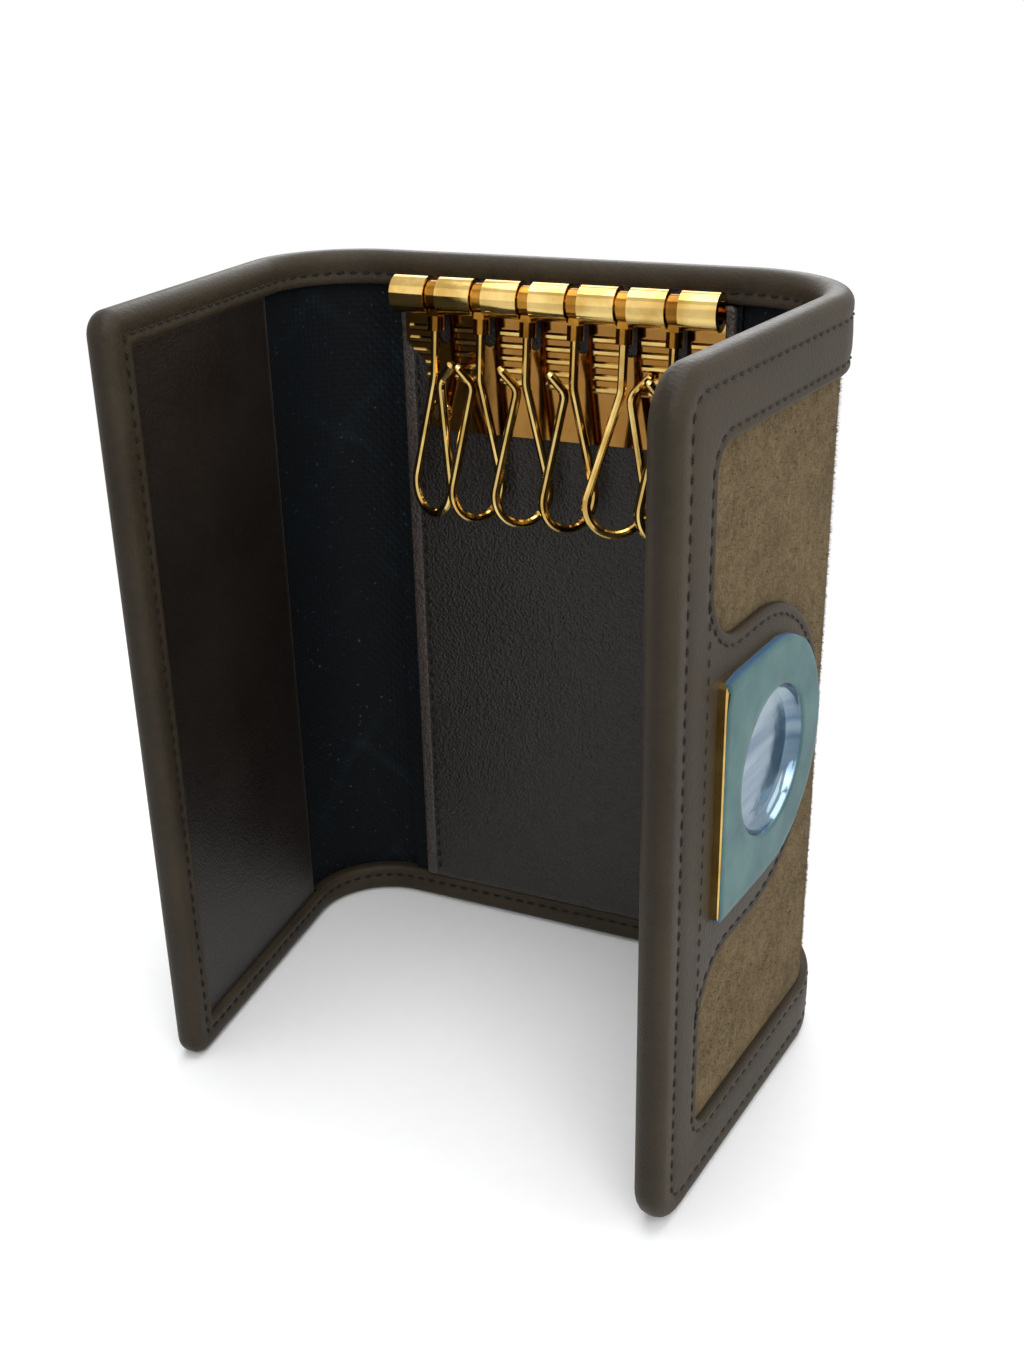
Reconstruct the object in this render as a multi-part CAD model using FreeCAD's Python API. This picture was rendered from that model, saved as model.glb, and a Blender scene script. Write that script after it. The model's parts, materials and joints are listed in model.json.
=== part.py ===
import FreeCAD, Part
import math
import os

# All lengths are in millimetres, all angles in degrees.

# The case: back, two spines and two flaps in one row, standing on its lower rim
case_height = 105.0
case_thickness = 4.0
back_width = 52.2
left_spine_length = 21.4
left_spine_bend = 95.2
left_corner_radius = 3.0
right_spine_length = 25.3
right_spine_bend = 96.8
right_flap_length = 44.1
right_corner_radius = 6.0
rim_round = 1.7

# Layers through the case
cover_thickness = 1.1
band_thickness = 0.9
band_width = 4.6
suede_thickness = 0.6
lining_thickness = 0.4
spine_lining_thickness = 0.9
pocket_thickness = 0.9
inner_panel_thickness = 0.8
inner_corner_radius = 0.5

# Gaps between pieces that lie against each other
layer_gap = 0.1
seam_gap = 0.05
cut_overrun = 1.0

# Suede window in the outer leather
strip_width = 9.5
end_frame_width = 10.0
back_frame_width = 8.0
window_corner_radius = 3.0

# Inner panels
pocket_mouth_setback = 0.9
key_panel_thickness = 1.2
key_panel_left_margin = 2.6
key_panel_right_margin = 0.6
key_panel_edge_round = 0.4

# Leather tongue under the clasp plate
patch_reach = 13.6
patch_centre_z = 53.0
patch_radius = 20.2
patch_fillet_radius = 7.5

# Clasp plate with its sunk dish, and the film on it
plate_offset = 1.9
plate_centre_z = 54.0
plate_radius = 15.1
plate_straight = 14.2
plate_corner_radius = 1.0
plate_thickness = 1.3
plate_edge_chamfer = 0.3
dish_radius = 9.4
dish_wall = 0.5
dish_floor_thickness = 0.4
film_thickness = 0.12
film_inset = 0.3

# Press stud and socket
stud_end_margin = 6.6
stud_radius = 2.05
stud_neck_radius = 1.75
stud_height = 1.6
stud_head_height = 0.8
stud_tip_chamfer = 0.4
stud_flange_radius = 3.8
stud_flange_thickness = 0.5
stud_post_radius = 1.1
stud_post_depth = 1.5
rivet_disc_radius = 3.4
rivet_disc_thickness = 0.4
socket_clearance = 0.15
socket_wall = 0.5
socket_flange_radius = 5.2
socket_flange_thickness = 1.2
socket_edge_chamfer = 0.4
spigot_clearance = 0.05
spigot_length = 0.7

# Hook rail: sheet rolled twice round into knuckles along its top edge
hook_count = 6
barrel_length = 5.15
barrel_gap = 1.8
sheet_thickness = 0.5
roll_turns = 2
rod_radius = 1.55
running_clearance = 0.05
rod_recess = 2.0
rod_drop = 5.0
roll_slit = 0.25
rail_height = 19.5
rail_shoulder_drop = 7.0
rail_taper_drop = 3.0
rail_foot_setback = 3.2
rail_corner_radius = 2.0
slot_extra = 3.6
rib_count = 5
rib_height = 0.25
rib_width = 1.0
rib_crest_width = 0.4
rib_pitch = 1.7
rib_start = 2.4
rib_length = 3.8

# Rivets that hold the rail
rail_rivet_margin = 2.0
rail_rivet_rise = 2.6
rail_rivet_radius = 0.9
rail_rivet_head_radius = 1.5
rail_rivet_head_height = 0.5
rail_rivet_chamfer = 0.25

# Swivel collars on the hinge rod
collar_wall = 0.5
collar_side_gap = 0.15
neck_depth = 1.8
boss_clearance = 0.2
boss_cap = 0.3
boss_wall = 0.5
boss_length = 2.0
waist_radius = 0.4
lip_thickness = 0.35

# Wire hooks, hanging at a slight tilt with their loops turned out of the row
wire_radius = 0.65
wire_sides = 12
pin_radius = 0.6
shoulder_gap = 0.1
loop_radius = 4.2
loop_drop = 26.2
shank_drop = 10.4
shank_bend_radius = 5.0
gate_drop = 12.4
gate_gap = 0.1
flare_radius = 2.0
flare_angle = 45.0
tip_length = 2.6
tip_taper = 0.45
tip_end_radius = 0.35
hook_tilt = 6.5
hook_turns = [152.0, 60.0, 50.0, 55.0, 215.0, 55.0]

# Values that follow from the sizes above
outer_face = case_thickness / 2
inner_face = -case_thickness / 2
skin_face = outer_face - cover_thickness
band_face = inner_face + band_thickness
suede_face = skin_face - suede_thickness
pocket_face = band_face + pocket_thickness
inner_panel_face = band_face + inner_panel_thickness
back_lining_face = band_face + lining_thickness
left_lining_face = pocket_face + lining_thickness
layer_inset = cover_thickness + layer_gap
half_back = back_width / 2
left_spine_radius = left_spine_length / math.radians(left_spine_bend)
right_spine_radius = right_spine_length / math.radians(right_spine_bend)
window_end = right_flap_length - end_frame_width
patch_centre_u = window_end - patch_reach
plate_centre_u = patch_centre_u - plate_offset
stud_u = back_width - plate_centre_u
left_flap_length = stud_u + stud_end_margin
key_panel_face = band_face - key_panel_thickness
key_panel_left = key_panel_left_margin - half_back
key_panel_right = half_back - key_panel_right_margin
key_panel_centre = (key_panel_left + key_panel_right) / 2
plate_face = outer_face + plate_thickness
pan_radius = dish_radius + dish_wall
dish_floor = skin_face + dish_floor_thickness
bore_radius = stud_radius + socket_clearance
socket_radius = bore_radius + socket_wall
spigot_radius = bore_radius - spigot_clearance
barrel_inner_radius = rod_radius + running_clearance
barrel_radius = barrel_inner_radius + roll_turns * sheet_thickness
barrel_pitch = barrel_length + barrel_gap
rail_length = hook_count * barrel_pitch + barrel_length
rail_foot_width = rail_length - 2 * rail_foot_setback
rail_rivet_spread = rail_foot_width - 2 * rail_rivet_margin
rail_back = key_panel_face - seam_gap
rail_front = rail_back - sheet_thickness
rod_y = rail_back - barrel_radius
rod_z = case_height - rod_drop
rail_rivet_z = rod_z - rail_height + rail_rivet_rise
collar_bore_radius = rod_radius + running_clearance
collar_radius = collar_bore_radius + collar_wall
collar_width = barrel_gap - 2 * collar_side_gap
boss_top = barrel_radius + boss_clearance
boss_base = boss_top + boss_length
swivel_radius = pin_radius + running_clearance
boss_radius = swivel_radius + boss_wall
hook_top = boss_top + boss_cap
pin_base = boss_base + shoulder_gap
lip_top = boss_top + (boss_length - lip_thickness) / 2
lip_base = lip_top + lip_thickness

origin = FreeCAD.Vector()
x_axis = FreeCAD.Vector(1, 0, 0)
y_axis = FreeCAD.Vector(0, 1, 0)
z_axis = FreeCAD.Vector(0, 0, 1)


def block(x_low, x_high, y_low, y_high, z_low, z_high):
    corner = FreeCAD.Vector(x_low, y_low, z_low)
    return Part.makeBox(x_high - x_low, y_high - y_low, z_high - z_low, corner)


def flat_point(x, z):
    return FreeCAD.Vector(x, 0, z)


def on_circle(x, z, radius, angle):
    return flat_point(x + radius * math.cos(angle), z + radius * math.sin(angle))


def line(start, end):
    return Part.LineSegment(start, end).toShape()


def arc(start, middle, end):
    return Part.Arc(start, middle, end).toShape()


def raise_outline(edges, y_low, y_high):
    """Solid over a closed outline in the x-z plane, between two depths."""
    face = Part.Face(Part.Wire(edges))
    face.translate(y_axis * y_low)
    return face.extrude(y_axis * (y_high - y_low))


def disc(radius, x, z, y_low, y_high):
    """Cylinder whose axis runs along y."""
    centre = FreeCAD.Vector(x, y_low, z)
    return Part.makeCylinder(radius, y_high - y_low, centre, y_axis)


def turned(points):
    """Solid of revolution about the y axis from (radius, y) points."""
    corners = [FreeCAD.Vector(radius, y, 0) for radius, y in points]
    outline = Part.makePolygon(corners + corners[:1])
    return Part.Face(outline).revolve(origin, y_axis, 360)


# Places of the two flaps: x along the flap, y outward, z up
def left_flap_place():
    bend = math.radians(left_spine_bend)
    x = -half_back - left_spine_radius * math.sin(bend)
    y = left_spine_radius * math.cos(bend) - left_spine_radius
    return FreeCAD.Placement(FreeCAD.Vector(x, y, 0), FreeCAD.Rotation(z_axis, left_spine_bend))


def right_flap_place():
    bend = math.radians(right_spine_bend)
    x = half_back + right_spine_radius * math.sin(bend)
    y = right_spine_radius * math.cos(bend) - right_spine_radius
    return FreeCAD.Placement(FreeCAD.Vector(x, y, 0), FreeCAD.Rotation(z_axis, -right_spine_bend))


def on_flap(solid, place):
    moved = solid.copy()
    moved.Placement = place.multiply(moved.Placement)
    return moved


# Flaps: square at the spine, rounded corners at the free end
def flap_outline(side, length, inset, corner_radius):
    end = side * (length - inset)
    low = inset
    top = case_height - inset
    radius = max(corner_radius - inset, inner_corner_radius)
    round_x = end - side * radius
    reach = radius * math.sin(math.pi / 4)
    low_middle = flat_point(round_x + side * reach, low + radius - reach)
    top_middle = flat_point(round_x + side * reach, top - radius + reach)
    return [
        line(flat_point(0, low), flat_point(round_x, low)),
        arc(flat_point(round_x, low), low_middle, flat_point(end, low + radius)),
        line(flat_point(end, low + radius), flat_point(end, top - radius)),
        arc(flat_point(end, top - radius), top_middle, flat_point(round_x, top)),
        line(flat_point(round_x, top), flat_point(0, top)),
        line(flat_point(0, top), flat_point(0, low)),
    ]


def flap_layer(side, length, corner_radius, y_low, y_high):
    return raise_outline(flap_outline(side, length, layer_inset, corner_radius), y_low, y_high)


def rim_edges(solid):
    """Edges along the top, free end and bottom of a flap's two faces."""
    edges = []
    for edge in solid.Edges:
        across = edge.BoundBox.YLength > seam_gap
        at_spine = abs(edge.CenterOfMass.x) < seam_gap
        if not across and not at_spine:
            edges.append(edge)
    return edges


def flap_cover(side, length, corner_radius):
    """Leather shell of a flap: outer skin, rolled rim and the band turned over inside."""
    shell = raise_outline(flap_outline(side, length, 0, corner_radius), inner_face, outer_face)
    shell = shell.makeFillet(rim_round, rim_edges(shell))
    hollow = flap_outline(side, length, cover_thickness, corner_radius)
    shell = shell.cut(raise_outline(hollow, band_face, skin_face))
    opening = flap_outline(side, length, band_width, corner_radius)
    return shell.cut(raise_outline(opening, inner_face - cut_overrun, band_face))


# Back panel
def back_cover():
    shell = block(-half_back, half_back, inner_face, outer_face, 0, case_height)
    long_edges = [edge for edge in shell.Edges if edge.BoundBox.XLength > case_thickness]
    shell = shell.makeFillet(rim_round, long_edges)
    rim_top = case_height - cover_thickness
    shell = shell.cut(block(-half_back, half_back, band_face, skin_face, cover_thickness, rim_top))
    band_low = inner_face - cut_overrun
    band_top = case_height - band_width
    shell = shell.cut(block(-half_back, half_back, band_low, band_face, band_width, band_top))
    window_left = back_frame_width - half_back
    window_top = case_height - strip_width
    skin_out = outer_face + cut_overrun
    window = block(window_left, half_back + cut_overrun, skin_face, skin_out, strip_width, window_top)
    upright = [edge for edge in window.Edges if edge.BoundBox.YLength > seam_gap]
    left_edges = [edge for edge in upright if edge.CenterOfMass.x < 0]
    return shell.cut(window.makeFillet(window_corner_radius, left_edges))


def back_layer(y_low, y_high):
    return block(-half_back, half_back, y_low, y_high, layer_inset, case_height - layer_inset)


def rail_rivet_places():
    centre = key_panel_centre
    return [centre - rail_rivet_spread / 2, centre + rail_rivet_spread / 2]


def with_rivet_holes(solid, y_low, y_high):
    for x in rail_rivet_places():
        radius = rail_rivet_radius + running_clearance
        solid = solid.cut(disc(radius, x, rail_rivet_z, y_low, y_high))
    return solid


def back_suede():
    return back_layer(suede_face, skin_face)


def back_board():
    return with_rivet_holes(back_layer(back_lining_face, suede_face), back_lining_face, suede_face)


def back_lining():
    return with_rivet_holes(back_layer(band_face, back_lining_face), band_face, back_lining_face)


def key_panel():
    low = band_width + layer_gap
    panel = block(key_panel_left, key_panel_right, key_panel_face, band_face, low, case_height - low)
    front = [edge for edge in panel.Edges if edge.BoundBox.YMax < band_face - seam_gap]
    panel = panel.makeFillet(key_panel_edge_round, front)
    return with_rivet_holes(panel, key_panel_face, band_face)


# Spines: the case's section carried round a quarter turn
def spine_sector(side, y_low, y_high, z_low, z_high, corner_round):
    """Sector of a spine between two depths, with its section's corners rounded."""
    radius = left_spine_radius if side < 0 else right_spine_radius
    bend = left_spine_bend if side < 0 else right_spine_bend
    section = block(-seam_gap, 0, y_low, y_high, z_low, z_high)
    if corner_round > 0:
        long_edges = [edge for edge in section.Edges if edge.BoundBox.XLength > seam_gap / 2]
        section = section.makeFillet(corner_round, long_edges)
    ends = [face for face in section.Faces if face.CenterOfMass.x > -seam_gap / 4]
    profile = ends[0].copy()
    seam_angle = math.degrees(seam_gap / radius)
    centre = FreeCAD.Vector(0, -radius, 0)
    profile.rotate(centre, z_axis, -side * seam_angle)
    sector = profile.revolve(centre, z_axis, -side * (bend - 2 * seam_angle))
    sector.translate(x_axis * (side * half_back))
    return sector


def spine_cover(side, depth):
    """Leather of a spine: outer skin and the two rims, hollow to a depth for its linings."""
    shell = spine_sector(side, inner_face, outer_face, 0, case_height, rim_round)
    floor = skin_face - depth
    hollow_top = case_height - cover_thickness
    shell = shell.cut(spine_sector(side, floor, skin_face, cover_thickness, hollow_top, 0))
    opening_top = case_height - band_width
    opening = spine_sector(side, inner_face - cut_overrun, floor + seam_gap, band_width, opening_top, 0)
    return shell.cut(opening)


def spine_layer(side, y_low, y_high):
    return spine_sector(side, y_low, y_high, layer_inset, case_height - layer_inset, 0)


def left_spine_cover():
    return spine_cover(-1, spine_lining_thickness + 2 * layer_gap)


def left_spine_lining():
    top = skin_face - layer_gap
    return spine_layer(-1, top - spine_lining_thickness, top)


def right_spine_strips():
    """Upper and lower leather strips, left when the suede window is cut right across."""
    depth = suede_thickness + lining_thickness + 3 * layer_gap
    shell = spine_cover(1, depth)
    window_top = case_height - strip_width
    window = spine_sector(1, skin_face - layer_gap, outer_face + cut_overrun, strip_width, window_top, 0)
    strips = shell.cut(window).Solids
    return sorted(strips, key=lambda strip: strip.CenterOfMass.z)


def right_spine_suede():
    top = skin_face - layer_gap
    return spine_layer(1, top - suede_thickness, top)


def right_spine_lining():
    top = skin_face - suede_thickness - 2 * layer_gap
    return spine_layer(1, top - lining_thickness, top)


# Left flap with its slip pocket and the press stud
def left_flap_cover():
    cover = flap_cover(-1, left_flap_length, left_corner_radius)
    hole = stud_post_radius + running_clearance
    return cover.cut(disc(hole, -stud_u, plate_centre_z, skin_face, outer_face))


def left_flap_board():
    board = flap_layer(-1, left_flap_length, left_corner_radius, left_lining_face, skin_face)
    hole = rivet_disc_radius + layer_gap
    return board.cut(disc(hole, -stud_u, plate_centre_z, left_lining_face, skin_face))


def left_flap_lining():
    return flap_layer(-1, left_flap_length, left_corner_radius, pocket_face, left_lining_face)


def left_pocket_panel():
    panel = flap_layer(-1, left_flap_length, left_corner_radius, band_face, pocket_face)
    return panel.cut(block(-pocket_mouth_setback, 0, band_face, pocket_face, 0, case_height))


def snap_stud():
    """Flanged stud with a rounded head, hollow for the rivet's post."""
    head_base = stud_height - stud_head_height
    points = [
        (0, 0),
        (stud_flange_radius, 0),
        (stud_flange_radius, stud_flange_thickness),
        (stud_neck_radius, stud_flange_thickness),
        (stud_neck_radius, stud_flange_thickness + head_base),
        (stud_radius, stud_flange_thickness + head_base),
        (stud_radius, stud_flange_thickness + stud_height),
        (0, stud_flange_thickness + stud_height),
    ]
    stud = turned(points)
    tip = stud_flange_thickness + stud_height
    tip_edges = [edge for edge in stud.Edges if edge.BoundBox.YMin > tip - seam_gap]
    stud = stud.makeChamfer(stud_tip_chamfer, tip_edges)
    stud = stud.cut(disc(stud_post_radius + running_clearance, 0, 0, 0, stud_post_depth))
    stud.translate(FreeCAD.Vector(-stud_u, outer_face, plate_centre_z))
    return stud


def stud_rivet():
    disc_low = skin_face - rivet_disc_thickness
    base = disc(rivet_disc_radius, -stud_u, plate_centre_z, disc_low, skin_face)
    post_top = outer_face + stud_post_depth - running_clearance
    return base.fuse(disc(stud_post_radius, -stud_u, plate_centre_z, skin_face, post_top)).removeSplitter()


# Right flap with its suede window, tongue, clasp plate and socket
def right_flap_cover():
    cover = flap_cover(1, right_flap_length, right_corner_radius)
    window_top = case_height - strip_width
    skin_out = outer_face + cut_overrun
    window = block(-cut_overrun, window_end, skin_face, skin_out, strip_width, window_top)
    upright = [edge for edge in window.Edges if edge.BoundBox.YLength > seam_gap]
    end_edges = [edge for edge in upright if edge.CenterOfMass.x > window_end / 2]
    return cover.cut(window.makeFillet(window_corner_radius, end_edges))


def with_socket_hole(solid, y_low, y_high):
    return solid.cut(disc(socket_radius + layer_gap, plate_centre_u, plate_centre_z, y_low, y_high))


def right_flap_suede():
    suede = flap_layer(1, right_flap_length, right_corner_radius, suede_face, skin_face)
    return with_socket_hole(suede, suede_face, skin_face)


def right_flap_board():
    board = flap_layer(1, right_flap_length, right_corner_radius, inner_panel_face, suede_face)
    return with_socket_hole(board, inner_panel_face, suede_face)


def right_inner_panel():
    panel = flap_layer(1, right_flap_length, right_corner_radius, band_face, inner_panel_face)
    panel = panel.cut(block(0, pocket_mouth_setback, band_face, inner_panel_face, 0, case_height))
    return with_socket_hole(panel, band_face, inner_panel_face)


def clasp_patch():
    """Tongue that bulges into the suede, with a concave run into the frame above and below."""
    edge = window_end - seam_gap
    neck = edge - patch_fillet_radius
    top = patch_centre_z + patch_radius
    low = patch_centre_z - patch_radius
    upper = top + patch_fillet_radius
    lower = low - patch_fillet_radius
    upper_middle = on_circle(neck, upper, patch_fillet_radius, -math.pi / 4)
    lower_middle = on_circle(neck, lower, patch_fillet_radius, math.pi / 4)
    nose = flat_point(patch_centre_u - patch_radius, patch_centre_z)
    outline = [
        arc(flat_point(edge, upper), upper_middle, flat_point(neck, top)),
        line(flat_point(neck, top), flat_point(patch_centre_u, top)),
        arc(flat_point(patch_centre_u, top), nose, flat_point(patch_centre_u, low)),
        line(flat_point(patch_centre_u, low), flat_point(neck, low)),
        arc(flat_point(neck, low), lower_middle, flat_point(edge, lower)),
        line(flat_point(edge, lower), flat_point(edge, upper)),
    ]
    patch = raise_outline(outline, skin_face, outer_face)
    hole = pan_radius + layer_gap
    return patch.cut(disc(hole, plate_centre_u, plate_centre_z, skin_face, outer_face))


def clasp_outline(inset):
    """D outline: a half circle, two short straights and a straight edge with small corners."""
    radius = plate_radius - inset
    corner = plate_corner_radius
    edge = plate_centre_u + plate_straight - inset
    top = plate_centre_z + radius
    low = plate_centre_z - radius
    nose = flat_point(plate_centre_u - radius, plate_centre_z)
    top_middle = on_circle(edge - corner, top - corner, corner, math.pi / 4)
    low_middle = on_circle(edge - corner, low + corner, corner, -math.pi / 4)
    return [
        arc(flat_point(plate_centre_u, top), nose, flat_point(plate_centre_u, low)),
        line(flat_point(plate_centre_u, low), flat_point(edge - corner, low)),
        arc(flat_point(edge - corner, low), low_middle, flat_point(edge, low + corner)),
        line(flat_point(edge, low + corner), flat_point(edge, top - corner)),
        arc(flat_point(edge, top - corner), top_middle, flat_point(edge - corner, top)),
        line(flat_point(edge - corner, top), flat_point(plate_centre_u, top)),
    ]


def clasp_plate():
    """D plate with a round dish sunk through the tongue, and a spigot under it for the socket."""
    plate = raise_outline(clasp_outline(0), outer_face, plate_face)
    top_edges = [edge for edge in plate.Edges if edge.BoundBox.YMin > plate_face - seam_gap]
    plate = plate.makeChamfer(plate_edge_chamfer, top_edges)
    plate = plate.fuse(disc(pan_radius, plate_centre_u, plate_centre_z, skin_face, outer_face))
    cut_top = plate_face + cut_overrun
    plate = plate.cut(disc(dish_radius, plate_centre_u, plate_centre_z, dish_floor, cut_top))
    spigot_low = skin_face - spigot_length
    return plate.fuse(disc(spigot_radius, plate_centre_u, plate_centre_z, spigot_low, skin_face))


def clasp_film():
    """Film on the plate's face, pressed down into the dish."""
    film_top = plate_face + film_thickness
    film = raise_outline(clasp_outline(plate_edge_chamfer + film_inset), plate_face, film_top)
    cup_radius = dish_radius - layer_gap
    film = film.fuse(disc(cup_radius, plate_centre_u, plate_centre_z, dish_floor, film_top))
    hollow_radius = cup_radius - film_thickness
    hollow_low = dish_floor + film_thickness
    return film.cut(disc(hollow_radius, plate_centre_u, plate_centre_z, hollow_low, film_top))


def snap_socket():
    """Flanged tube: the stud enters from inside, the clasp plate's spigot from outside."""
    flange_low = band_face - socket_flange_thickness
    flange = disc(socket_flange_radius, plate_centre_u, plate_centre_z, flange_low, band_face)
    face_edges = [edge for edge in flange.Edges if edge.BoundBox.YMax < flange_low + seam_gap]
    flange = flange.makeChamfer(socket_edge_chamfer, face_edges)
    tube = disc(socket_radius, plate_centre_u, plate_centre_z, band_face, skin_face - seam_gap)
    bore = disc(bore_radius, plate_centre_u, plate_centre_z, flange_low, skin_face)
    return flange.fuse(tube).cut(bore).removeSplitter()


# Hook rail
def barrel_starts():
    first = key_panel_centre - rail_length / 2
    return [first + index * barrel_pitch for index in range(hook_count + 1)]


def hook_places():
    return [start + barrel_length + barrel_gap / 2 for start in barrel_starts()[:hook_count]]


def knuckle(start):
    """Sheet rolled from the plate's back over the top and round to a slit in front of the plate."""
    slit_reach = barrel_radius - sheet_thickness - roll_slit
    roll_end = 2 * math.pi - math.acos(slit_reach / barrel_radius)

    def at(radius, share):
        angle = roll_end * share
        y = rod_y + radius * math.cos(angle)
        return FreeCAD.Vector(start, y, rod_z + radius * math.sin(angle))

    outline = [
        arc(at(barrel_radius, 0), at(barrel_radius, 1 / 2), at(barrel_radius, 1)),
        line(at(barrel_radius, 1), at(barrel_inner_radius, 1)),
        arc(at(barrel_inner_radius, 1), at(barrel_inner_radius, 1 / 2), at(barrel_inner_radius, 0)),
        line(at(barrel_inner_radius, 0), at(barrel_radius, 0)),
    ]
    return Part.Face(Part.Wire(outline)).extrude(x_axis * barrel_length)


def rail_field(y_low, y_high):
    """Flat of the rail: full width under the knuckles, drawn in to a foot with rounded corners."""
    half = rail_length / 2
    foot = rail_foot_width / 2
    shoulder = rod_z - rail_shoulder_drop
    taper = shoulder - rail_taper_drop
    low = rod_z - rail_height
    radius = rail_corner_radius
    left_middle = on_circle(radius - foot, low + radius, radius, -math.pi * 3 / 4)
    right_middle = on_circle(foot - radius, low + radius, radius, -math.pi / 4)
    outline = [
        line(flat_point(-half, rod_z), flat_point(-half, shoulder)),
        line(flat_point(-half, shoulder), flat_point(-foot, taper)),
        line(flat_point(-foot, taper), flat_point(-foot, low + radius)),
        arc(flat_point(-foot, low + radius), left_middle, flat_point(radius - foot, low)),
        line(flat_point(radius - foot, low), flat_point(foot - radius, low)),
        arc(flat_point(foot - radius, low), right_middle, flat_point(foot, low + radius)),
        line(flat_point(foot, low + radius), flat_point(foot, taper)),
        line(flat_point(foot, taper), flat_point(half, shoulder)),
        line(flat_point(half, shoulder), flat_point(half, rod_z)),
        line(flat_point(half, rod_z), flat_point(-half, rod_z)),
    ]
    field = raise_outline(outline, y_low, y_high)
    field.translate(x_axis * key_panel_centre)
    return field


def rail_ribs(start):
    """Low ribs with sloping sides, pressed into the sheet under one knuckle."""
    ribs = []
    rib_x = start + (barrel_length - rib_length) / 2
    crest = rail_front - rib_height
    for index in range(rib_count):
        rib_z = rod_z - barrel_radius - rib_start - index * rib_pitch
        corners = [
            FreeCAD.Vector(rib_x, rail_front, rib_z - rib_width / 2),
            FreeCAD.Vector(rib_x, crest, rib_z - rib_crest_width / 2),
            FreeCAD.Vector(rib_x, crest, rib_z + rib_crest_width / 2),
            FreeCAD.Vector(rib_x, rail_front, rib_z + rib_width / 2),
        ]
        outline = Part.makePolygon(corners + corners[:1])
        ribs.append(Part.Face(outline).extrude(x_axis * rib_length))
    return ribs


def hook_rail():
    rail = rail_field(rail_front, rail_back)
    slot_low = rod_z - barrel_radius - slot_extra
    for x in hook_places():
        half = barrel_gap / 2
        rail = rail.cut(block(x - half, x + half, rail_front, rail_back, slot_low, rod_z))
        rail = rail.cut(disc(half, x, slot_low, rail_front, rail_back))
    rib_room = rail_field(rail_front - rib_height, rail_front)
    added = []
    for start in barrel_starts():
        added.append(knuckle(start))
        added.extend(rib.common(rib_room) for rib in rail_ribs(start))
    rail = rail.multiFuse(added).removeSplitter()
    return with_rivet_holes(rail, rail_front - rib_height, rail_back)


def hinge_rod():
    left = key_panel_centre - rail_length / 2 + rod_recess
    length = rail_length - 2 * rod_recess
    return Part.makeCylinder(rod_radius, length, FreeCAD.Vector(left, rod_y, rod_z), x_axis)


def rail_rivet(x):
    head_low = rail_front - rail_rivet_head_height
    head = disc(rail_rivet_head_radius, x, rail_rivet_z, head_low, rail_front)
    crown = [edge for edge in head.Edges if edge.BoundBox.YMax < head_low + seam_gap]
    head = head.makeChamfer(rail_rivet_chamfer, crown)
    shank = disc(rail_rivet_radius, x, rail_rivet_z, rail_front, suede_face)
    return head.fuse(shank).removeSplitter()


# Swivel collars and wire hooks, made hanging straight down from the rod at the origin
def hung(solid, x):
    """Tilt a collar or hook outward about the rod and move it to its gap in the rail."""
    solid.rotate(origin, x_axis, -hook_tilt)
    solid.translate(FreeCAD.Vector(x, rod_y, rod_z))
    return solid


def post(radius, top, base):
    """Upright cylinder between two drops below the rod."""
    return Part.makeCylinder(radius, base - top, FreeCAD.Vector(0, 0, -base), z_axis)


def collar(x):
    """Ring on the rod with a short neck and a boss, whose inner lip holds the hook's waist."""
    half = collar_width / 2
    ring = Part.makeCylinder(collar_radius, collar_width, FreeCAD.Vector(-half, 0, 0), x_axis)
    neck = block(-half, half, -neck_depth / 2, neck_depth / 2, -boss_top, 0)
    body = ring.fuse(neck).fuse(post(boss_radius, boss_top, boss_base))
    ring_start = FreeCAD.Vector(-half, 0, 0)
    body = body.cut(Part.makeCylinder(collar_bore_radius, collar_width, ring_start, x_axis))
    body = body.cut(post(swivel_radius, hook_top - running_clearance, lip_top))
    body = body.cut(post(waist_radius + running_clearance, lip_top, lip_base))
    body = body.cut(post(swivel_radius, lip_base, boss_base))
    return hung(body.removeSplitter(), x)


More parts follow.
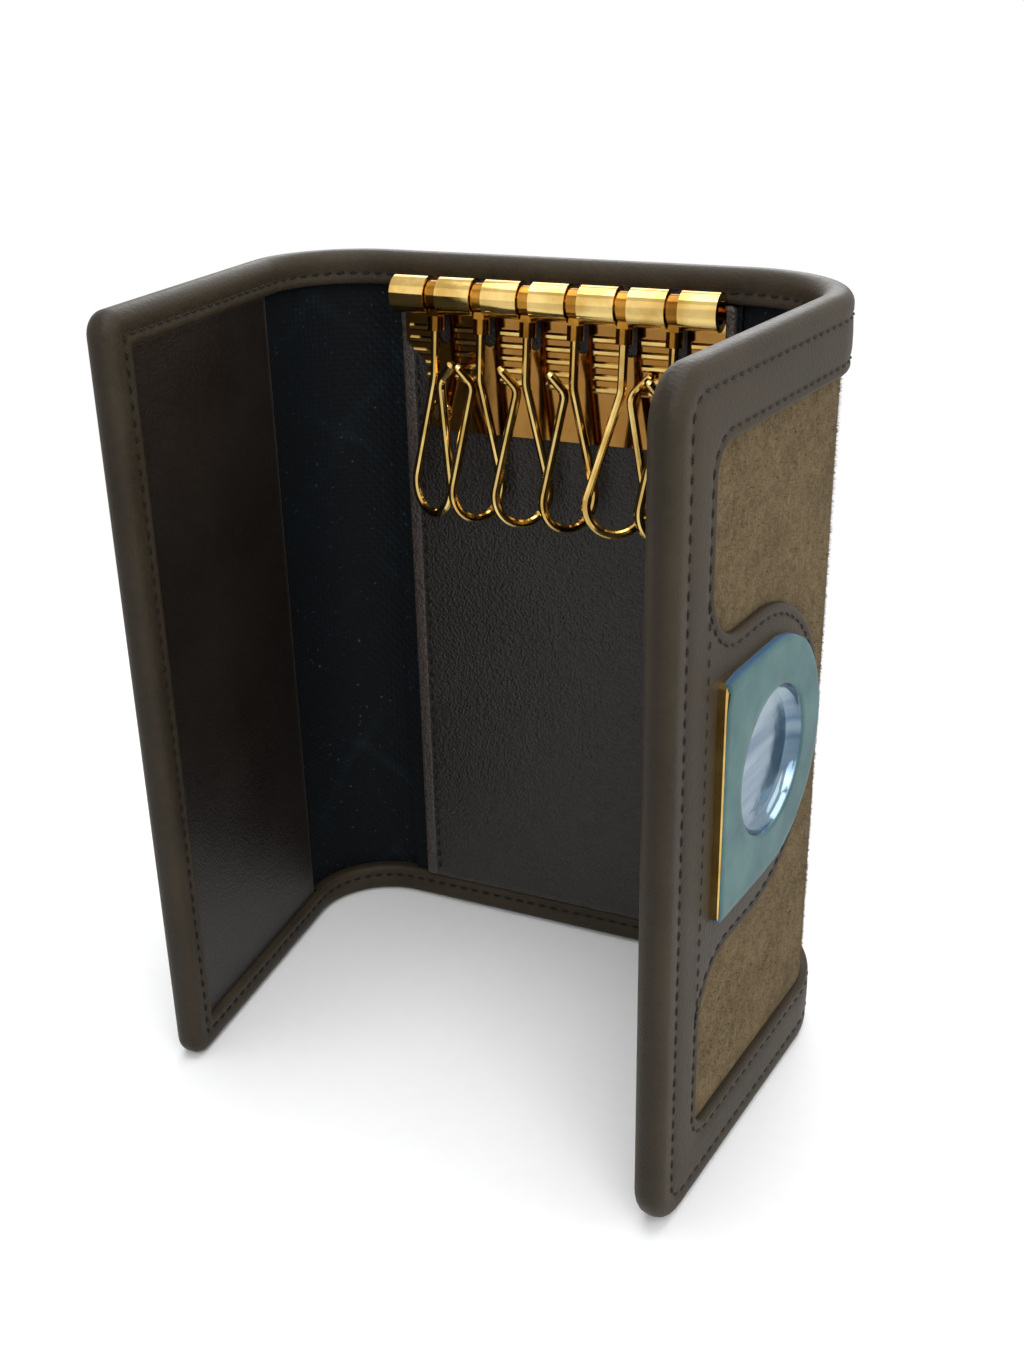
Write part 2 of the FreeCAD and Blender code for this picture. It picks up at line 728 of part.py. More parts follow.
def hook_path():
    """Run of the wire from the pin down the shank, round the loop and up to the flared tip."""
    loop_height = loop_drop - shank_drop
    lean_reach = math.hypot(loop_height, shank_bend_radius)
    lean = math.asin((loop_radius + shank_bend_radius) / lean_reach)
    lean = lean - math.atan2(shank_bend_radius, loop_height)
    flare_x = -(2 * wire_radius + gate_gap + flare_radius)
    gate_height = loop_drop - gate_drop
    rise_reach = math.hypot(gate_height, flare_x)
    rise = math.asin((flare_radius + loop_radius) / rise_reach) - math.atan2(-flare_x, gate_height)
    flare = math.radians(flare_angle)
    quarter = math.pi / 2
    top = flat_point(0, -pin_base)
    bend_start = flat_point(0, -shank_drop)
    bend_middle = on_circle(shank_bend_radius, -shank_drop, shank_bend_radius, math.pi + lean / 2)
    bend_end = on_circle(shank_bend_radius, -shank_drop, shank_bend_radius, math.pi + lean)
    loop_start = on_circle(0, -loop_drop, loop_radius, lean)
    loop_right = on_circle(0, -loop_drop, loop_radius, (lean - quarter) / 2)
    loop_base = on_circle(0, -loop_drop, loop_radius, -quarter)
    loop_left = on_circle(0, -loop_drop, loop_radius, -(3 * quarter + rise) / 2)
    loop_end = on_circle(0, -loop_drop, loop_radius, -(2 * quarter + rise))
    flare_start = on_circle(flare_x, -gate_drop, flare_radius, -rise)
    flare_middle = on_circle(flare_x, -gate_drop, flare_radius, (flare - rise) / 2)
    flare_end = on_circle(flare_x, -gate_drop, flare_radius, flare)
    tip_way = flat_point(-math.sin(flare), math.cos(flare))
    tip = flare_end + tip_way * tip_length
    edges = [
        line(top, bend_start),
        arc(bend_start, bend_middle, bend_end),
        line(bend_end, loop_start),
        arc(loop_start, loop_right, loop_base),
        arc(loop_base, loop_left, loop_end),
        line(loop_end, flare_start),
        arc(flare_start, flare_middle, flare_end),
        line(flare_end, tip),
    ]
    return Part.Wire(edges), top, tip, tip_way


def wire_section(centre, way, radius):
    """Many-sided outline of the wire, square to the way it runs in the x-z plane."""
    across = way.cross(y_axis)
    corners = []
    for index in range(wire_sides):
        angle = 2 * math.pi * index / wire_sides
        spoke = y_axis * math.cos(angle) + across * math.sin(angle)
        corners.append(centre + spoke * radius)
    return Part.makePolygon(corners + corners[:1])


def swivel_pin():
    """Round pin above the wire, with a waist where the collar's lip holds it."""
    waist_top = lip_top - running_clearance
    waist_base = lip_base + running_clearance
    groove = post(swivel_radius, waist_top, waist_base).cut(post(waist_radius, waist_top, waist_base))
    return post(pin_radius, hook_top, pin_base).cut(groove)


def hook(x, turn):
    path, top, tip, tip_way = hook_path()
    wire = path.makePipeShell([wire_section(top, z_axis, wire_radius)], True, False)
    tip_end = tip + tip_way * tip_taper
    tip_sections = [wire_section(tip, tip_way, wire_radius), wire_section(tip_end, tip_way, tip_end_radius)]
    wire = wire.fuse([Part.makeLoft(tip_sections, True, True), swivel_pin()]).removeSplitter()
    wire.rotate(origin, z_axis, turn)
    return hung(wire, x)


def back_pieces():
    rivet_left, rivet_right = rail_rivet_places()
    return {
        "back_cover": back_cover(),
        "back_suede": back_suede(),
        "back_board": back_board(),
        "back_lining": back_lining(),
        "key_panel": key_panel(),
        "hook_rail": hook_rail(),
        "hinge_rod": hinge_rod(),
        "rail_rivet_left": rail_rivet(rivet_left),
        "rail_rivet_right": rail_rivet(rivet_right),
    }


def spine_pieces():
    base_strip, top_strip = right_spine_strips()
    return {
        "left_spine_cover": left_spine_cover(),
        "left_spine_lining": left_spine_lining(),
        "right_spine_base_strip": base_strip,
        "right_spine_top_strip": top_strip,
        "right_spine_suede": right_spine_suede(),
        "right_spine_lining": right_spine_lining(),
    }


def left_flap_pieces():
    pieces = {
        "left_flap_cover": left_flap_cover(),
        "left_flap_board": left_flap_board(),
        "left_flap_lining": left_flap_lining(),
        "left_pocket_panel": left_pocket_panel(),
        "snap_stud": snap_stud(),
        "stud_rivet": stud_rivet(),
    }
    place = left_flap_place()
    return {name: on_flap(solid, place) for name, solid in pieces.items()}


def right_flap_pieces():
    pieces = {
        "right_flap_cover": right_flap_cover(),
        "right_flap_suede": right_flap_suede(),
        "right_flap_board": right_flap_board(),
        "right_inner_panel": right_inner_panel(),
        "clasp_patch": clasp_patch(),
        "clasp_plate": clasp_plate(),
        "clasp_film": clasp_film(),
        "snap_socket": snap_socket(),
    }
    place = right_flap_place()
    return {name: on_flap(solid, place) for name, solid in pieces.items()}


def hook_pieces():
    pieces = {}
    for index, x in enumerate(hook_places()):
        number = index + 1
        pieces["collar_" + str(number)] = collar(x)
        pieces["hook_" + str(number)] = hook(x, hook_turns[index])
    return pieces


def all_pieces():
    pieces = {}
    pieces.update(back_pieces())
    pieces.update(spine_pieces())
    pieces.update(left_flap_pieces())
    pieces.update(right_flap_pieces())
    pieces.update(hook_pieces())
    return pieces


os.makedirs("parts", exist_ok=True)
for node, shape in all_pieces().items():
    shape.exportStep("parts/" + node + ".step")
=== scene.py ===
"""Dressed key case: leather, suede, lining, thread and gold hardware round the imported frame."""

import json
import logging
import math
import random
from dataclasses import dataclass
from enum import Enum

import bmesh
import bpy
from mathutils import Matrix, Vector

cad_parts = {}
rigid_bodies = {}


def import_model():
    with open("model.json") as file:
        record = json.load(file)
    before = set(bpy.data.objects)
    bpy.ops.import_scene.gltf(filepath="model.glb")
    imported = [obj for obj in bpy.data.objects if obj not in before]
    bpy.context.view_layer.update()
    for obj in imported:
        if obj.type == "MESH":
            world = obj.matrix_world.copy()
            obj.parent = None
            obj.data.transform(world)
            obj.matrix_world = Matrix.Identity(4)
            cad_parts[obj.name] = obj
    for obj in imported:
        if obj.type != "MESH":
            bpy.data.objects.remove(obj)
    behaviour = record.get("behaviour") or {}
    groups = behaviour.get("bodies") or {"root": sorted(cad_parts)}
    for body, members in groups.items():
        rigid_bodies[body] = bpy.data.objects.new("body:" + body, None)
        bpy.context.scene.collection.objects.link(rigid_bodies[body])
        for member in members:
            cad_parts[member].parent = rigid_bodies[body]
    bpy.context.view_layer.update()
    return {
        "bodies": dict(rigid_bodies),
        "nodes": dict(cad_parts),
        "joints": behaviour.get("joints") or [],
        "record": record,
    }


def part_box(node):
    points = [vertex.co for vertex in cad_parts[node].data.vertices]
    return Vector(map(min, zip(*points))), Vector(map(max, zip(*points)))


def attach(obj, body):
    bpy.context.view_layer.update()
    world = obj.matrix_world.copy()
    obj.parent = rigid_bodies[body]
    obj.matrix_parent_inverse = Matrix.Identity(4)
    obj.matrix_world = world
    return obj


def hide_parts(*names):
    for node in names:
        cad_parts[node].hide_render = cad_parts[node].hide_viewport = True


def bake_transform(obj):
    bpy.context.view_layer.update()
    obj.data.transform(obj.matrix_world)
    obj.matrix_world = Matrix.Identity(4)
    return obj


MM = 0.001
logging.basicConfig(level=logging.INFO, format="%(name)s %(message)s")
log = logging.getLogger("key_case")


class Side(Enum):
    """Side of the case seen from the open front."""

    LEFT = -1
    RIGHT = 1


def steps(low: float, high: float, count: int) -> list[float]:
    """Evenly spaced values from low to high, both included."""
    return [low + (high - low) * index / count for index in range(count + 1)]


def arc_places(
    centre: tuple[float, float], radius: float, first: float, last: float, count: int
) -> list[tuple[float, float]]:
    """Places along an arc from one angle to another, in degrees, both ends included."""
    turns = [math.radians(angle) for angle in steps(first, last, count)]
    return [(centre[0] + radius * math.cos(turn), centre[1] + radius * math.sin(turn)) for turn in turns]


def ring_places(
    centre: tuple[float, float], radius: float, count: int, first: float = 0.0
) -> list[tuple[float, float]]:
    """Places evenly round a whole circle, from an angle in degrees."""
    return arc_places(centre, radius, first, first + 360.0 * (count - 1) / count, count - 1)


@dataclass(frozen=True)
class SpineSizes:
    """One spine and its flap in millimetres and degrees."""

    length: float
    bend: float
    flap: float
    corner: float

    @property
    def radius(self) -> float:
        """Radius of the spine's middle line."""
        return self.length / math.radians(self.bend)


@dataclass(frozen=True)
class CaseSizes:
    """Sizes of the case in millimetres: those of the solids, and the seams and tucks of the dressing."""

    height: float = 105.0
    half_back: float = 26.1
    face: float = 2.0
    rim: float = 1.7
    band: float = 4.6
    strip: float = 9.5
    frame_extra: float = 0.5
    puff: float = 0.07
    suede_level: float = 0.9
    panel_level: float = -1.1
    key_level: float = -2.3
    border: float = 8.0
    window_corner: float = 3.0
    stitch: float = 3.0
    window_stitch: float = 8.2
    valley: float = 0.17
    dip: float = 0.12
    flat_inset: float = 5.2
    flat_outset: float = 2.6
    overlap: float = 0.1
    tuck: float = 0.6
    panel_tuck: float = 0.5
    panel_start: float = 0.9
    seat: float = 0.02
    left: SpineSizes = SpineSizes(21.4, 95.2, 40.2, 3.0)
    right: SpineSizes = SpineSizes(25.3, 96.8, 44.1, 6.0)

    def spine(self, side: Side) -> SpineSizes:
        """Sizes of the spine on one side."""
        return self.left if side is Side.LEFT else self.right

    def both(self, inset: float) -> tuple[float, float]:
        """Heights at the same inset from the lower rim and from the upper one."""
        return inset, self.height - inset

    def lining_heights(self, count: int) -> list[float]:
        """Heights over a lining, from under the lower band to under the upper one."""
        return steps(*self.both(self.band - self.tuck), count)

    def suede_heights(self, tuck: float, count: int) -> list[float]:
        """Heights over a sheet of suede, from under the lower strip to under the upper one."""
        return steps(*self.both(self.strip - tuck), count)


SIZES = CaseSizes()


@dataclass(frozen=True)
class PlateSizes:
    """Dished plate on the right flap and its film, in millimetres from the flap's start and the floor."""

    centre: tuple[float, float] = (18.6, 54.0)
    radius: float = 15.1
    straight: float = 14.2
    top: float = 3.3
    film: float = 0.06
    pan_hole: float = 10.2
    socket_hole: float = 2.75
    dish_radius: float = 9.4
    dish_rim: float = 0.1


PLATE = PlateSizes()


class CaseMap:
    """Bends unrolled places (along, outward, up) in millimetres to the standing case."""

    def __init__(self, sizes: CaseSizes) -> None:
        """Keep the sizes to bend by."""
        self.sizes = sizes

    def point(self, along: float, outward: float, up: float) -> Vector:
        """Place on the standing case.

        Args:
            along: distance along the middle line from the middle of the back.
            outward: distance out of the middle line, positive on the outside.
            up: height above the floor.

        Returns:
            The point in metres.
        """
        side = 1.0 if along > 0 else -1.0
        spine = self.sizes.right if along > 0 else self.sizes.left
        reach = abs(along) - self.sizes.half_back
        if reach <= 0:
            return Vector((along, outward, up)) * MM
        angle = min(reach / spine.radius, math.radians(spine.bend))
        beyond = max(reach - spine.length, 0.0)
        x = (spine.radius + outward) * math.sin(angle) + beyond * math.cos(angle)
        y = (spine.radius + outward) * math.cos(angle) - beyond * math.sin(angle)
        return Vector((side * (self.sizes.half_back + x), y - spine.radius, up)) * MM

    def flap_start(self, side: Side) -> float:
        """Signed distance along the middle line where a flap begins."""
        return side.value * (self.sizes.half_back + self.sizes.spine(side).length)

    def spine_place(self, side: Side, share: float) -> Vector:
        """Point of a spine's middle line at a share of its length, half-way up."""
        along = self.sizes.half_back + self.sizes.spine(side).length * share
        return self.point(side.value * along, 0.0, self.sizes.height / 2)


CASE = CaseMap(SIZES)


class SheetBuilder:
    """Collects surfaces in unrolled millimetres and makes one piece of them."""

    sharp = math.radians(50)

    def __init__(self) -> None:
        """Start an empty mesh that stores unrolled places and a share of abrasion with painted sheen."""
        self.mesh = bmesh.new()
        self.flat = self.mesh.verts.layers.float_vector.new("flat")
        self.wear_and_sheen = self.mesh.verts.layers.float.new("wear_and_sheen")

    def vertex(self, place: tuple[float, float, float], wear_and_sheen: float = 0.0) -> bmesh.types.BMVert:
        """Add one vertex.

        Args:
            place: unrolled place (along, outward, up).
            wear_and_sheen: how abraded the leather is there, with a painted sheen, from 0 to 1.

        Returns:
            The new vertex.
        """
        made = self.mesh.verts.new(CASE.point(*place))
        made[self.flat] = Vector((place[0], place[2], place[1])) * MM
        made[self.wear_and_sheen] = wear_and_sheen
        return made

    def grid(self, rows: list[list[tuple]], close: bool = False, wear_and_sheen: tuple = ()) -> list[list]:
        """Quads between rows of places.

        Args:
            rows: unrolled places, the same number in each row.
            close: join the ends of each row.
            wear_and_sheen: how abraded each of the first rows is, with a painted sheen.

        Returns:
            The vertices of each row.
        """
        rub_and_sheen = list(wear_and_sheen) + [0.0] * (len(rows) - len(wear_and_sheen))
        verts = [[self.vertex(place, share) for place in row] for row, share in zip(rows, rub_and_sheen)]
        for low, high in zip(verts, verts[1:]):
            count = len(low) if close else len(low) - 1
            for index in range(count):
                after = (index + 1) % len(low)
                self.mesh.faces.new((low[index], low[after], high[after], high[index]))
        return verts

    def sheet(self, stations: list[float], ups: list[float], outward: float) -> None:
        """Quads of a plain sheet at one level, over distances along the case and heights."""
        self.grid([[(along, outward, up) for up in ups] for along in stations])

    def rims(self, stations: list[float], profile: list[tuple[float, float]]) -> None:
        """Lower and upper rim of a profile (inset, outward), over distances along the case."""
        for places in (profile, [(SIZES.height - inset, outward) for inset, outward in profile]):
            self.grid([[(along, outward, up) for up, outward in places] for along in stations])

    def fill(self, verts: list) -> None:
        """One flat face over a closed run of vertices."""
        self.mesh.faces.new(verts)

    def piece(self, name: str, material: bpy.types.Material, weld: float = 0.002) -> bpy.types.Object:
        """Weld, smooth and link what was collected.

        Args:
            name: name of the new object.
            material: finish of the whole piece.
            weld: vertices nearer than this, in millimetres, become one.

        Returns:
            The linked object.
        """
        bmesh.ops.remove_doubles(self.mesh, verts=self.mesh.verts, dist=weld * MM)
        bmesh.ops.recalc_face_normals(self.mesh, faces=self.mesh.faces)
        data = bpy.data.meshes.new(name)
        self.mesh.to_mesh(data)
        self.mesh.free()
        data.polygons.foreach_set("use_smooth", [True] * len(data.polygons))
        data.set_sharp_from_angle(angle=self.sharp)
        data.materials.append(material)
        made = bpy.data.objects.new(name, data)
        bpy.context.scene.collection.objects.link(made)
        log.info("%s: %d faces", name, len(data.polygons))
        return made


class FlapOutline:
    """Three-sided outline of a flap, inset by any width, always with the same samples."""

    along_steps = 22
    end_steps = 44
    corner_steps = 8
    least_corner = 0.6

    def __init__(self, side: Side) -> None:
        """Take the sizes of one side's flap."""
        self.side = side
        self.spine = SIZES.spine(side)

    def end_inset(self, inset: float) -> float:
        """Inset at the free end, a little more than along the rims on the right.

        Args:
            inset: inset along the rims.

        Returns:
            The inset in millimetres.
        """
        if self.side is Side.LEFT:
            return inset
        grown = min(1.0, max(0.0, (inset - SIZES.rim) / (SIZES.stitch - SIZES.rim)))
        return inset + SIZES.frame_extra * grown

    def corner(self, inset: float) -> float:
        """Corner radius left at an inset."""
        least = SIZES.window_corner if self.side is Side.RIGHT else self.least_corner
        return max(self.spine.corner - inset, least)

    def places(self, inset: float) -> list[tuple[float, float]]:
        """The outline on the flat.

        Args:
            inset: distance from the flap's rim.

        Returns:
            Places (reach along the flap, height) from the lower spine end round to the upper one.
        """
        radius = self.corner(inset)
        reach = self.spine.flap - self.end_inset(inset)
        low, top = SIZES.both(inset)
        turn = reach - radius
        out = [(reach_now, low) for reach_now in steps(0, turn, self.along_steps)]
        out += arc_places((turn, low + radius), radius, -90, 0, self.corner_steps)[1:]
        out += [(reach, up) for up in steps(low + radius, top - radius, self.end_steps)[1:]]
        out += arc_places((turn, top - radius), radius, 0, 90, self.corner_steps)[1:]
        return out + [(reach_now, top) for reach_now in steps(turn, 0, self.along_steps)[1:]]

    def path(self, inset: float) -> list[tuple[float, float]]:
        """The outline at an inset, as unrolled places (along, up)."""
        start = CASE.flap_start(self.side)
        return [(start + self.side.value * reach, up) for reach, up in self.places(inset)]

    def rows(self, profile: list[tuple[float, float]]) -> list[list[tuple]]:
        """The outline at each inset and level of a profile, as unrolled places."""
        return [[(along, outward, up) for along, up in self.path(inset)] for inset, outward in profile]


def groove(centre: float, level: float, sign: float) -> list[tuple[float, float]]:
    """Shallow valley that a row of stitches pulls into leather.

    Args:
        centre: place of the valley across the profile.
        level: level of the leather's face.
        sign: 1 on the outside of the case, -1 on the inside.

    Returns:
        Profile points across the valley.
    """
    shape = ((-0.7, 0.0), (-0.35, 0.55), (0.0, 1.0), (0.35, 0.55), (0.7, 0.0))
    return [(centre + across, level - sign * SIZES.valley * dip) for across, dip in shape]


def folded_edge(edge: float, level: float, floor: float) -> list[tuple[float, float]]:
    """Turned leather edge.

    Args:
        edge: place of the edge across the profile.
        level: level of the leather's face.
        floor: level of the sheet below the edge.

    Returns:
        Profile points from the sheet below the edge up to its face.
    """
    turned = ((0.0, 0.62), (0.06, 0.36), (0.2, 0.16), (0.42, 0.04), (0.7, 0.0))
    return [(edge, floor)] + [(edge - inset, level - depth) for inset, depth in turned]


def rolled_rim() -> list[tuple[float, float]]:
    """Profile of the rolled rim, from the outer face round to the inner one."""
    radius, level = SIZES.rim, SIZES.face - SIZES.rim
    return arc_places((radius, level), radius, 90, 180, 8) + arc_places((radius, -level), radius, 180, 270, 8)


def inner_band(floor: float) -> list[tuple[float, float]]:
    """Profile of the band turned over inside, from the rim to its folded edge."""
    edge = [(across, -level) for across, level in folded_edge(SIZES.band, SIZES.face, -floor)]
    return groove(SIZES.stitch, -SIZES.face, -1.0) + edge[::-1]


def plain_profile(floor: float, puff: float = 0.0) -> list[tuple[float, float]]:
    """Rim profile under a plain outer face, which may stand a little proud between its seams."""
    outer = [(SIZES.flat_inset, SIZES.face + puff)] + groove(SIZES.stitch, SIZES.face, 1.0)[::-1]
    return outer + rolled_rim() + inner_band(floor)


def window_edge() -> list[tuple[float, float]]:
    """Turned edge and seam of the suede window.

    Returns:
        Profile points (outset, level) from the suede up to the face.
    """
    floor = SIZES.suede_level - SIZES.overlap
    edge = [(-across, level) for across, level in folded_edge(0.0, SIZES.face, floor)]
    seam = groove(SIZES.strip - SIZES.window_stitch, SIZES.face, 1.0)
    return edge[:-1] + seam + [(SIZES.flat_outset, SIZES.face + SIZES.puff)]


def frame_profile(floor: float) -> list[tuple[float, float]]:
    """Rim profile with the frame round the suede window."""
    outer = [(SIZES.strip - outset, level) for outset, level in window_edge()]
    return outer + plain_profile(floor, SIZES.puff)


class Sock:
    """A shader value that takes part in plain arithmetic."""

    def __init__(self, shader: "Shader", socket: bpy.types.NodeSocket) -> None:
        """Wrap an output of a shader's node."""
        self.shader = shader
        self.socket = socket

    def _math(self, kind: str, *others: "Sock | float") -> "Sock":
        """One Math node with this value first."""
        return self.shader.node("ShaderNodeMath", [self, *others], operation=kind)

    def __add__(self, other: "Sock | float") -> "Sock":
        """Sum of two values."""
        return self._math("ADD", other)

    def __sub__(self, other: "Sock | float") -> "Sock":
        """This value less another."""
        return self._math("SUBTRACT", other)

    def __rsub__(self, other: float) -> "Sock":
        """A number less this value."""
        return self.shader.node("ShaderNodeMath", [other, self], operation="SUBTRACT")

    def __mul__(self, other: "Sock | float") -> "Sock":
        """Product of two values."""
        return self._math("MULTIPLY", other)

    __radd__ = __add__
    __rmul__ = __mul__

    def power(self, other: "Sock | float") -> "Sock":
        """This value raised to a power."""
        return self._math("POWER", other)

    def sine(self) -> "Sock":
        """Sine of this value in radians."""
        return self._math("SINE")

    def size(self) -> "Sock":
        """This value without its sign."""
        return self._math("ABSOLUTE")

    def spread(self, low: float, high: float, to_low: float = 0.0, to_high: float = 1.0) -> "Sock":
        """This value carried from one range to another and held inside it."""
        return self.shader.node("ShaderNodeMapRange", [self, low, high, to_low, to_high])


class Shader:
    """Builds one node material."""

    def __init__(self, name: str, world: bpy.types.World | None = None) -> None:
        """Start a material, or the surroundings if a world is given.

        Args:
            name: name of the new material.
            world: world to dress instead of a material.
        """
        self.material = world or bpy.data.materials.new(name)
        self.material.use_nodes = True
        self.tree = self.material.node_tree
        self.surface = self.tree.nodes.get("Principled BSDF")

    def node(
        self, kind: str, inputs: list | dict | None = None, output: int | str = 0, **settings: object
    ) -> Sock:
        """Add any node.

        Args:
            kind: Blender's node type.
            inputs: values or Socks by order or by socket name.
            output: which output to return.
            settings: properties of the node.

        Returns:
            The chosen output.
        """
        made = self.tree.nodes.new(kind)
        for key, value in settings.items():
            setattr(made, key, value)
        pairs = inputs.items() if isinstance(inputs, dict) else enumerate(inputs or [])
        for key, value in pairs:
            self.feed(made.inputs[key], value)
        return Sock(self, made.outputs[output])

    def feed(self, socket: bpy.types.NodeSocket, value: object) -> None:
        """Give an input its value.

        Args:
            socket: input of a node.
            value: a Sock to link, or a constant to set.
        """
        if isinstance(value, Sock):
            self.tree.links.new(value.socket, socket)
        else:
            socket.default_value = value

    def flat(self) -> Sock:
        """Unrolled place stored on the mesh, in metres."""
        return self.node("ShaderNodeAttribute", output="Vector", attribute_name="flat")

    def local(self) -> Sock:
        """Place in the object's own space, in metres."""
        return self.node("ShaderNodeTexCoord", output="Object")

    def parts(self, vector: Sock) -> tuple[Sock, ...]:
        """The three components of a vector."""
        first = self.node("ShaderNodeSeparateXYZ", [vector])
        return tuple(Sock(self, output) for output in first.socket.node.outputs)

    def noise(self, vector: Sock, scale: float, detail: float = 3.0, rough: float = 0.55) -> Sock:
        """Smooth noise of a given frequency per metre."""
        inputs = {"Vector": vector, "Scale": scale, "Detail": detail, "Roughness": rough}
        return self.node("ShaderNodeTexNoise", inputs, "Fac")

    def streaks(self, vector: Sock, scale: tuple[float, float, float]) -> Sock:
        """Noise drawn out along an axis, by a frequency per metre for each axis."""
        return self.noise(self.node("ShaderNodeMapping", {"Vector": vector, "Scale": scale}), 1.0)

    def cells(self, vector: Sock, scale: float) -> Sock:
        """Distance to the nearest of scattered points."""
        return self.node("ShaderNodeTexVoronoi", {"Vector": vector, "Scale": scale}, "Distance")

    def mix(self, amount: Sock, under: Sock | tuple, over: tuple) -> Sock:
        """A linear colour laid over another by an amount."""
        base = under if isinstance(under, Sock) else (*under, 1.0)
        return self.node("ShaderNodeMix", {0: amount, 6: base, 7: (*over, 1.0)}, 2, data_type="RGBA")

    def bump(self, height: Sock, distance: float) -> Sock:
        """Normal from a height in metres."""
        inputs = {"Height": height, "Distance": distance, "Strength": 1.0}
        return self.node("ShaderNodeBump", inputs, "Normal")

    def seen(self) -> Sock:
        """Test of the kind of ray.

        Returns:
            One for rays that show a surface to the camera, straight or by way of metal or film.
        """
        path = self.node("ShaderNodeLightPath").socket.node
        kinds = ("Is Camera Ray", "Is Glossy Ray", "Is Transmission Ray")
        camera, glossy, through = (Sock(self, path.outputs[kind]) for kind in kinds)
        return (camera + glossy + through).spread(0.0, 1.0)

    def finish(self, value: Sock) -> None:
        """Link a closure to the tree's output."""
        output = next(node for node in self.tree.nodes if node.type.startswith("OUTPUT"))
        self.feed(output.inputs["Surface"], value)

    def set(self, **values: object) -> bpy.types.Material:
        """Feed inputs of the surface.

        Args:
            values: constants or Socks by the input's name, with underscores for spaces.

        Returns:
            The material.
        """
        for key, value in values.items():
            self.feed(self.surface.inputs[key.replace("_", " ")], value)
        return self.material


def scaled(colour: tuple, factor: float) -> tuple:
    """A linear colour made lighter or darker."""
    return tuple(part * factor for part in colour)


@dataclass(frozen=True)
class LeatherFinish:
    """Grained leather: two shades, grain per metre, relief in millimetres, gloss, and burnished rims with a
    painted dark band of shade.
    """

    name: str
    dark: tuple
    light: tuple
    grain: float
    relief: float
    gloss: float
    shine: float
    rim_polish_and_shade: float = 0.0

    def build(self) -> bpy.types.Material:
        """Make the node material.

        Returns:
            The leather, paler where it is scuffed, paler on edges and welts from abrasion and a painted
            sheen, smoother along burnished rims and darker there from burnishing and painted shade.
        """
        shader = Shader(self.name)
        flat = shader.flat()
        blotch = shader.noise(flat, 60.0, 4.0)
        pores = shader.cells(flat, self.grain)
        creases = shader.noise(flat, self.grain * 0.45, 5.0, 0.65)
        fine = shader.noise(flat, self.grain * 2.2, 2.0)
        scuff = shader.noise(flat, 340.0, 6.0, 0.7).spread(0.62, 0.75)
        tone = (0.7 * blotch + 0.3 * creases).spread(0.32, 0.68)
        colour = shader.mix(tone, self.dark, self.light)
        colour = shader.mix(0.12 * scuff, colour, scaled(self.light, 2.4))
        # Painted sheen: marked edges and welts turn paler, partly from real abrasion and partly as a painted
        # highlight on raised edges.
        wear_and_sheen_level = shader.node("ShaderNodeAttribute", output="Fac", attribute_name="wear_and_sheen")
        rub_and_sheen = wear_and_sheen_level * creases.spread(0.3, 0.6, 0.4, 1.0)
        colour = shader.mix(rub_and_sheen, colour, scaled(self.light, 4.5))
        height = 0.55 * pores + 0.75 * creases + 0.2 * fine
        rough = 0.16 * blotch + 0.2 * creases + 0.12 * scuff + (self.gloss - 0.18)
        # Painted shade: a darker band along the middle of rolled rims and turned edges, on top of their real
        # smoother burnishing.
        if self.rim_polish_and_shade:
            rim = shader.parts(flat)[2].size().spread(0.3 * MM, 1.75 * MM, self.rim_polish_and_shade, 0.0)
            burnish_and_painted_shade = rim * blotch.spread(0.3, 0.7, 0.75, 1.0)
            colour = shader.mix(burnish_and_painted_shade, colour, scaled(self.dark, 0.4))
            rough = rough - 0.3 * rim
        normal = shader.bump(height, self.relief * MM)
        return shader.set(
            Base_Color=colour, Roughness=rough, Normal=normal, Specular_IOR_Level=self.shine
        )


@dataclass(frozen=True)
class SuedeFinish:
    """Napped suede: matt, mottled, with a soft sheen."""

    name: str
    dark: tuple
    light: tuple

    def build(self) -> bpy.types.Material:
        """Make the node material.

        Returns:
            The suede, mottled by strokes, tufts and fibres.
        """
        shader = Shader(self.name)
        flat = shader.flat()
        stroke = shader.noise(flat, 130.0, 5.0, 0.62)
        fibre = shader.noise(flat, 2600.0, 3.0, 0.7)
        tuft = shader.noise(flat, 700.0, 4.0, 0.7)
        tone = (0.3 * stroke + 0.45 * tuft + 0.45 * fibre).spread(0.4, 0.8)
        colour = shader.mix(tone, self.dark, self.light)
        normal = shader.bump(0.5 * fibre + tuft, 0.28 * MM)
        return shader.set(
            Base_Color=colour, Roughness=stroke.spread(0.3, 0.7, 0.86, 0.98), Normal=normal,
            Specular_IOR_Level=0.0, Sheen_Weight=0.05, Sheen_Roughness=0.5,
        )


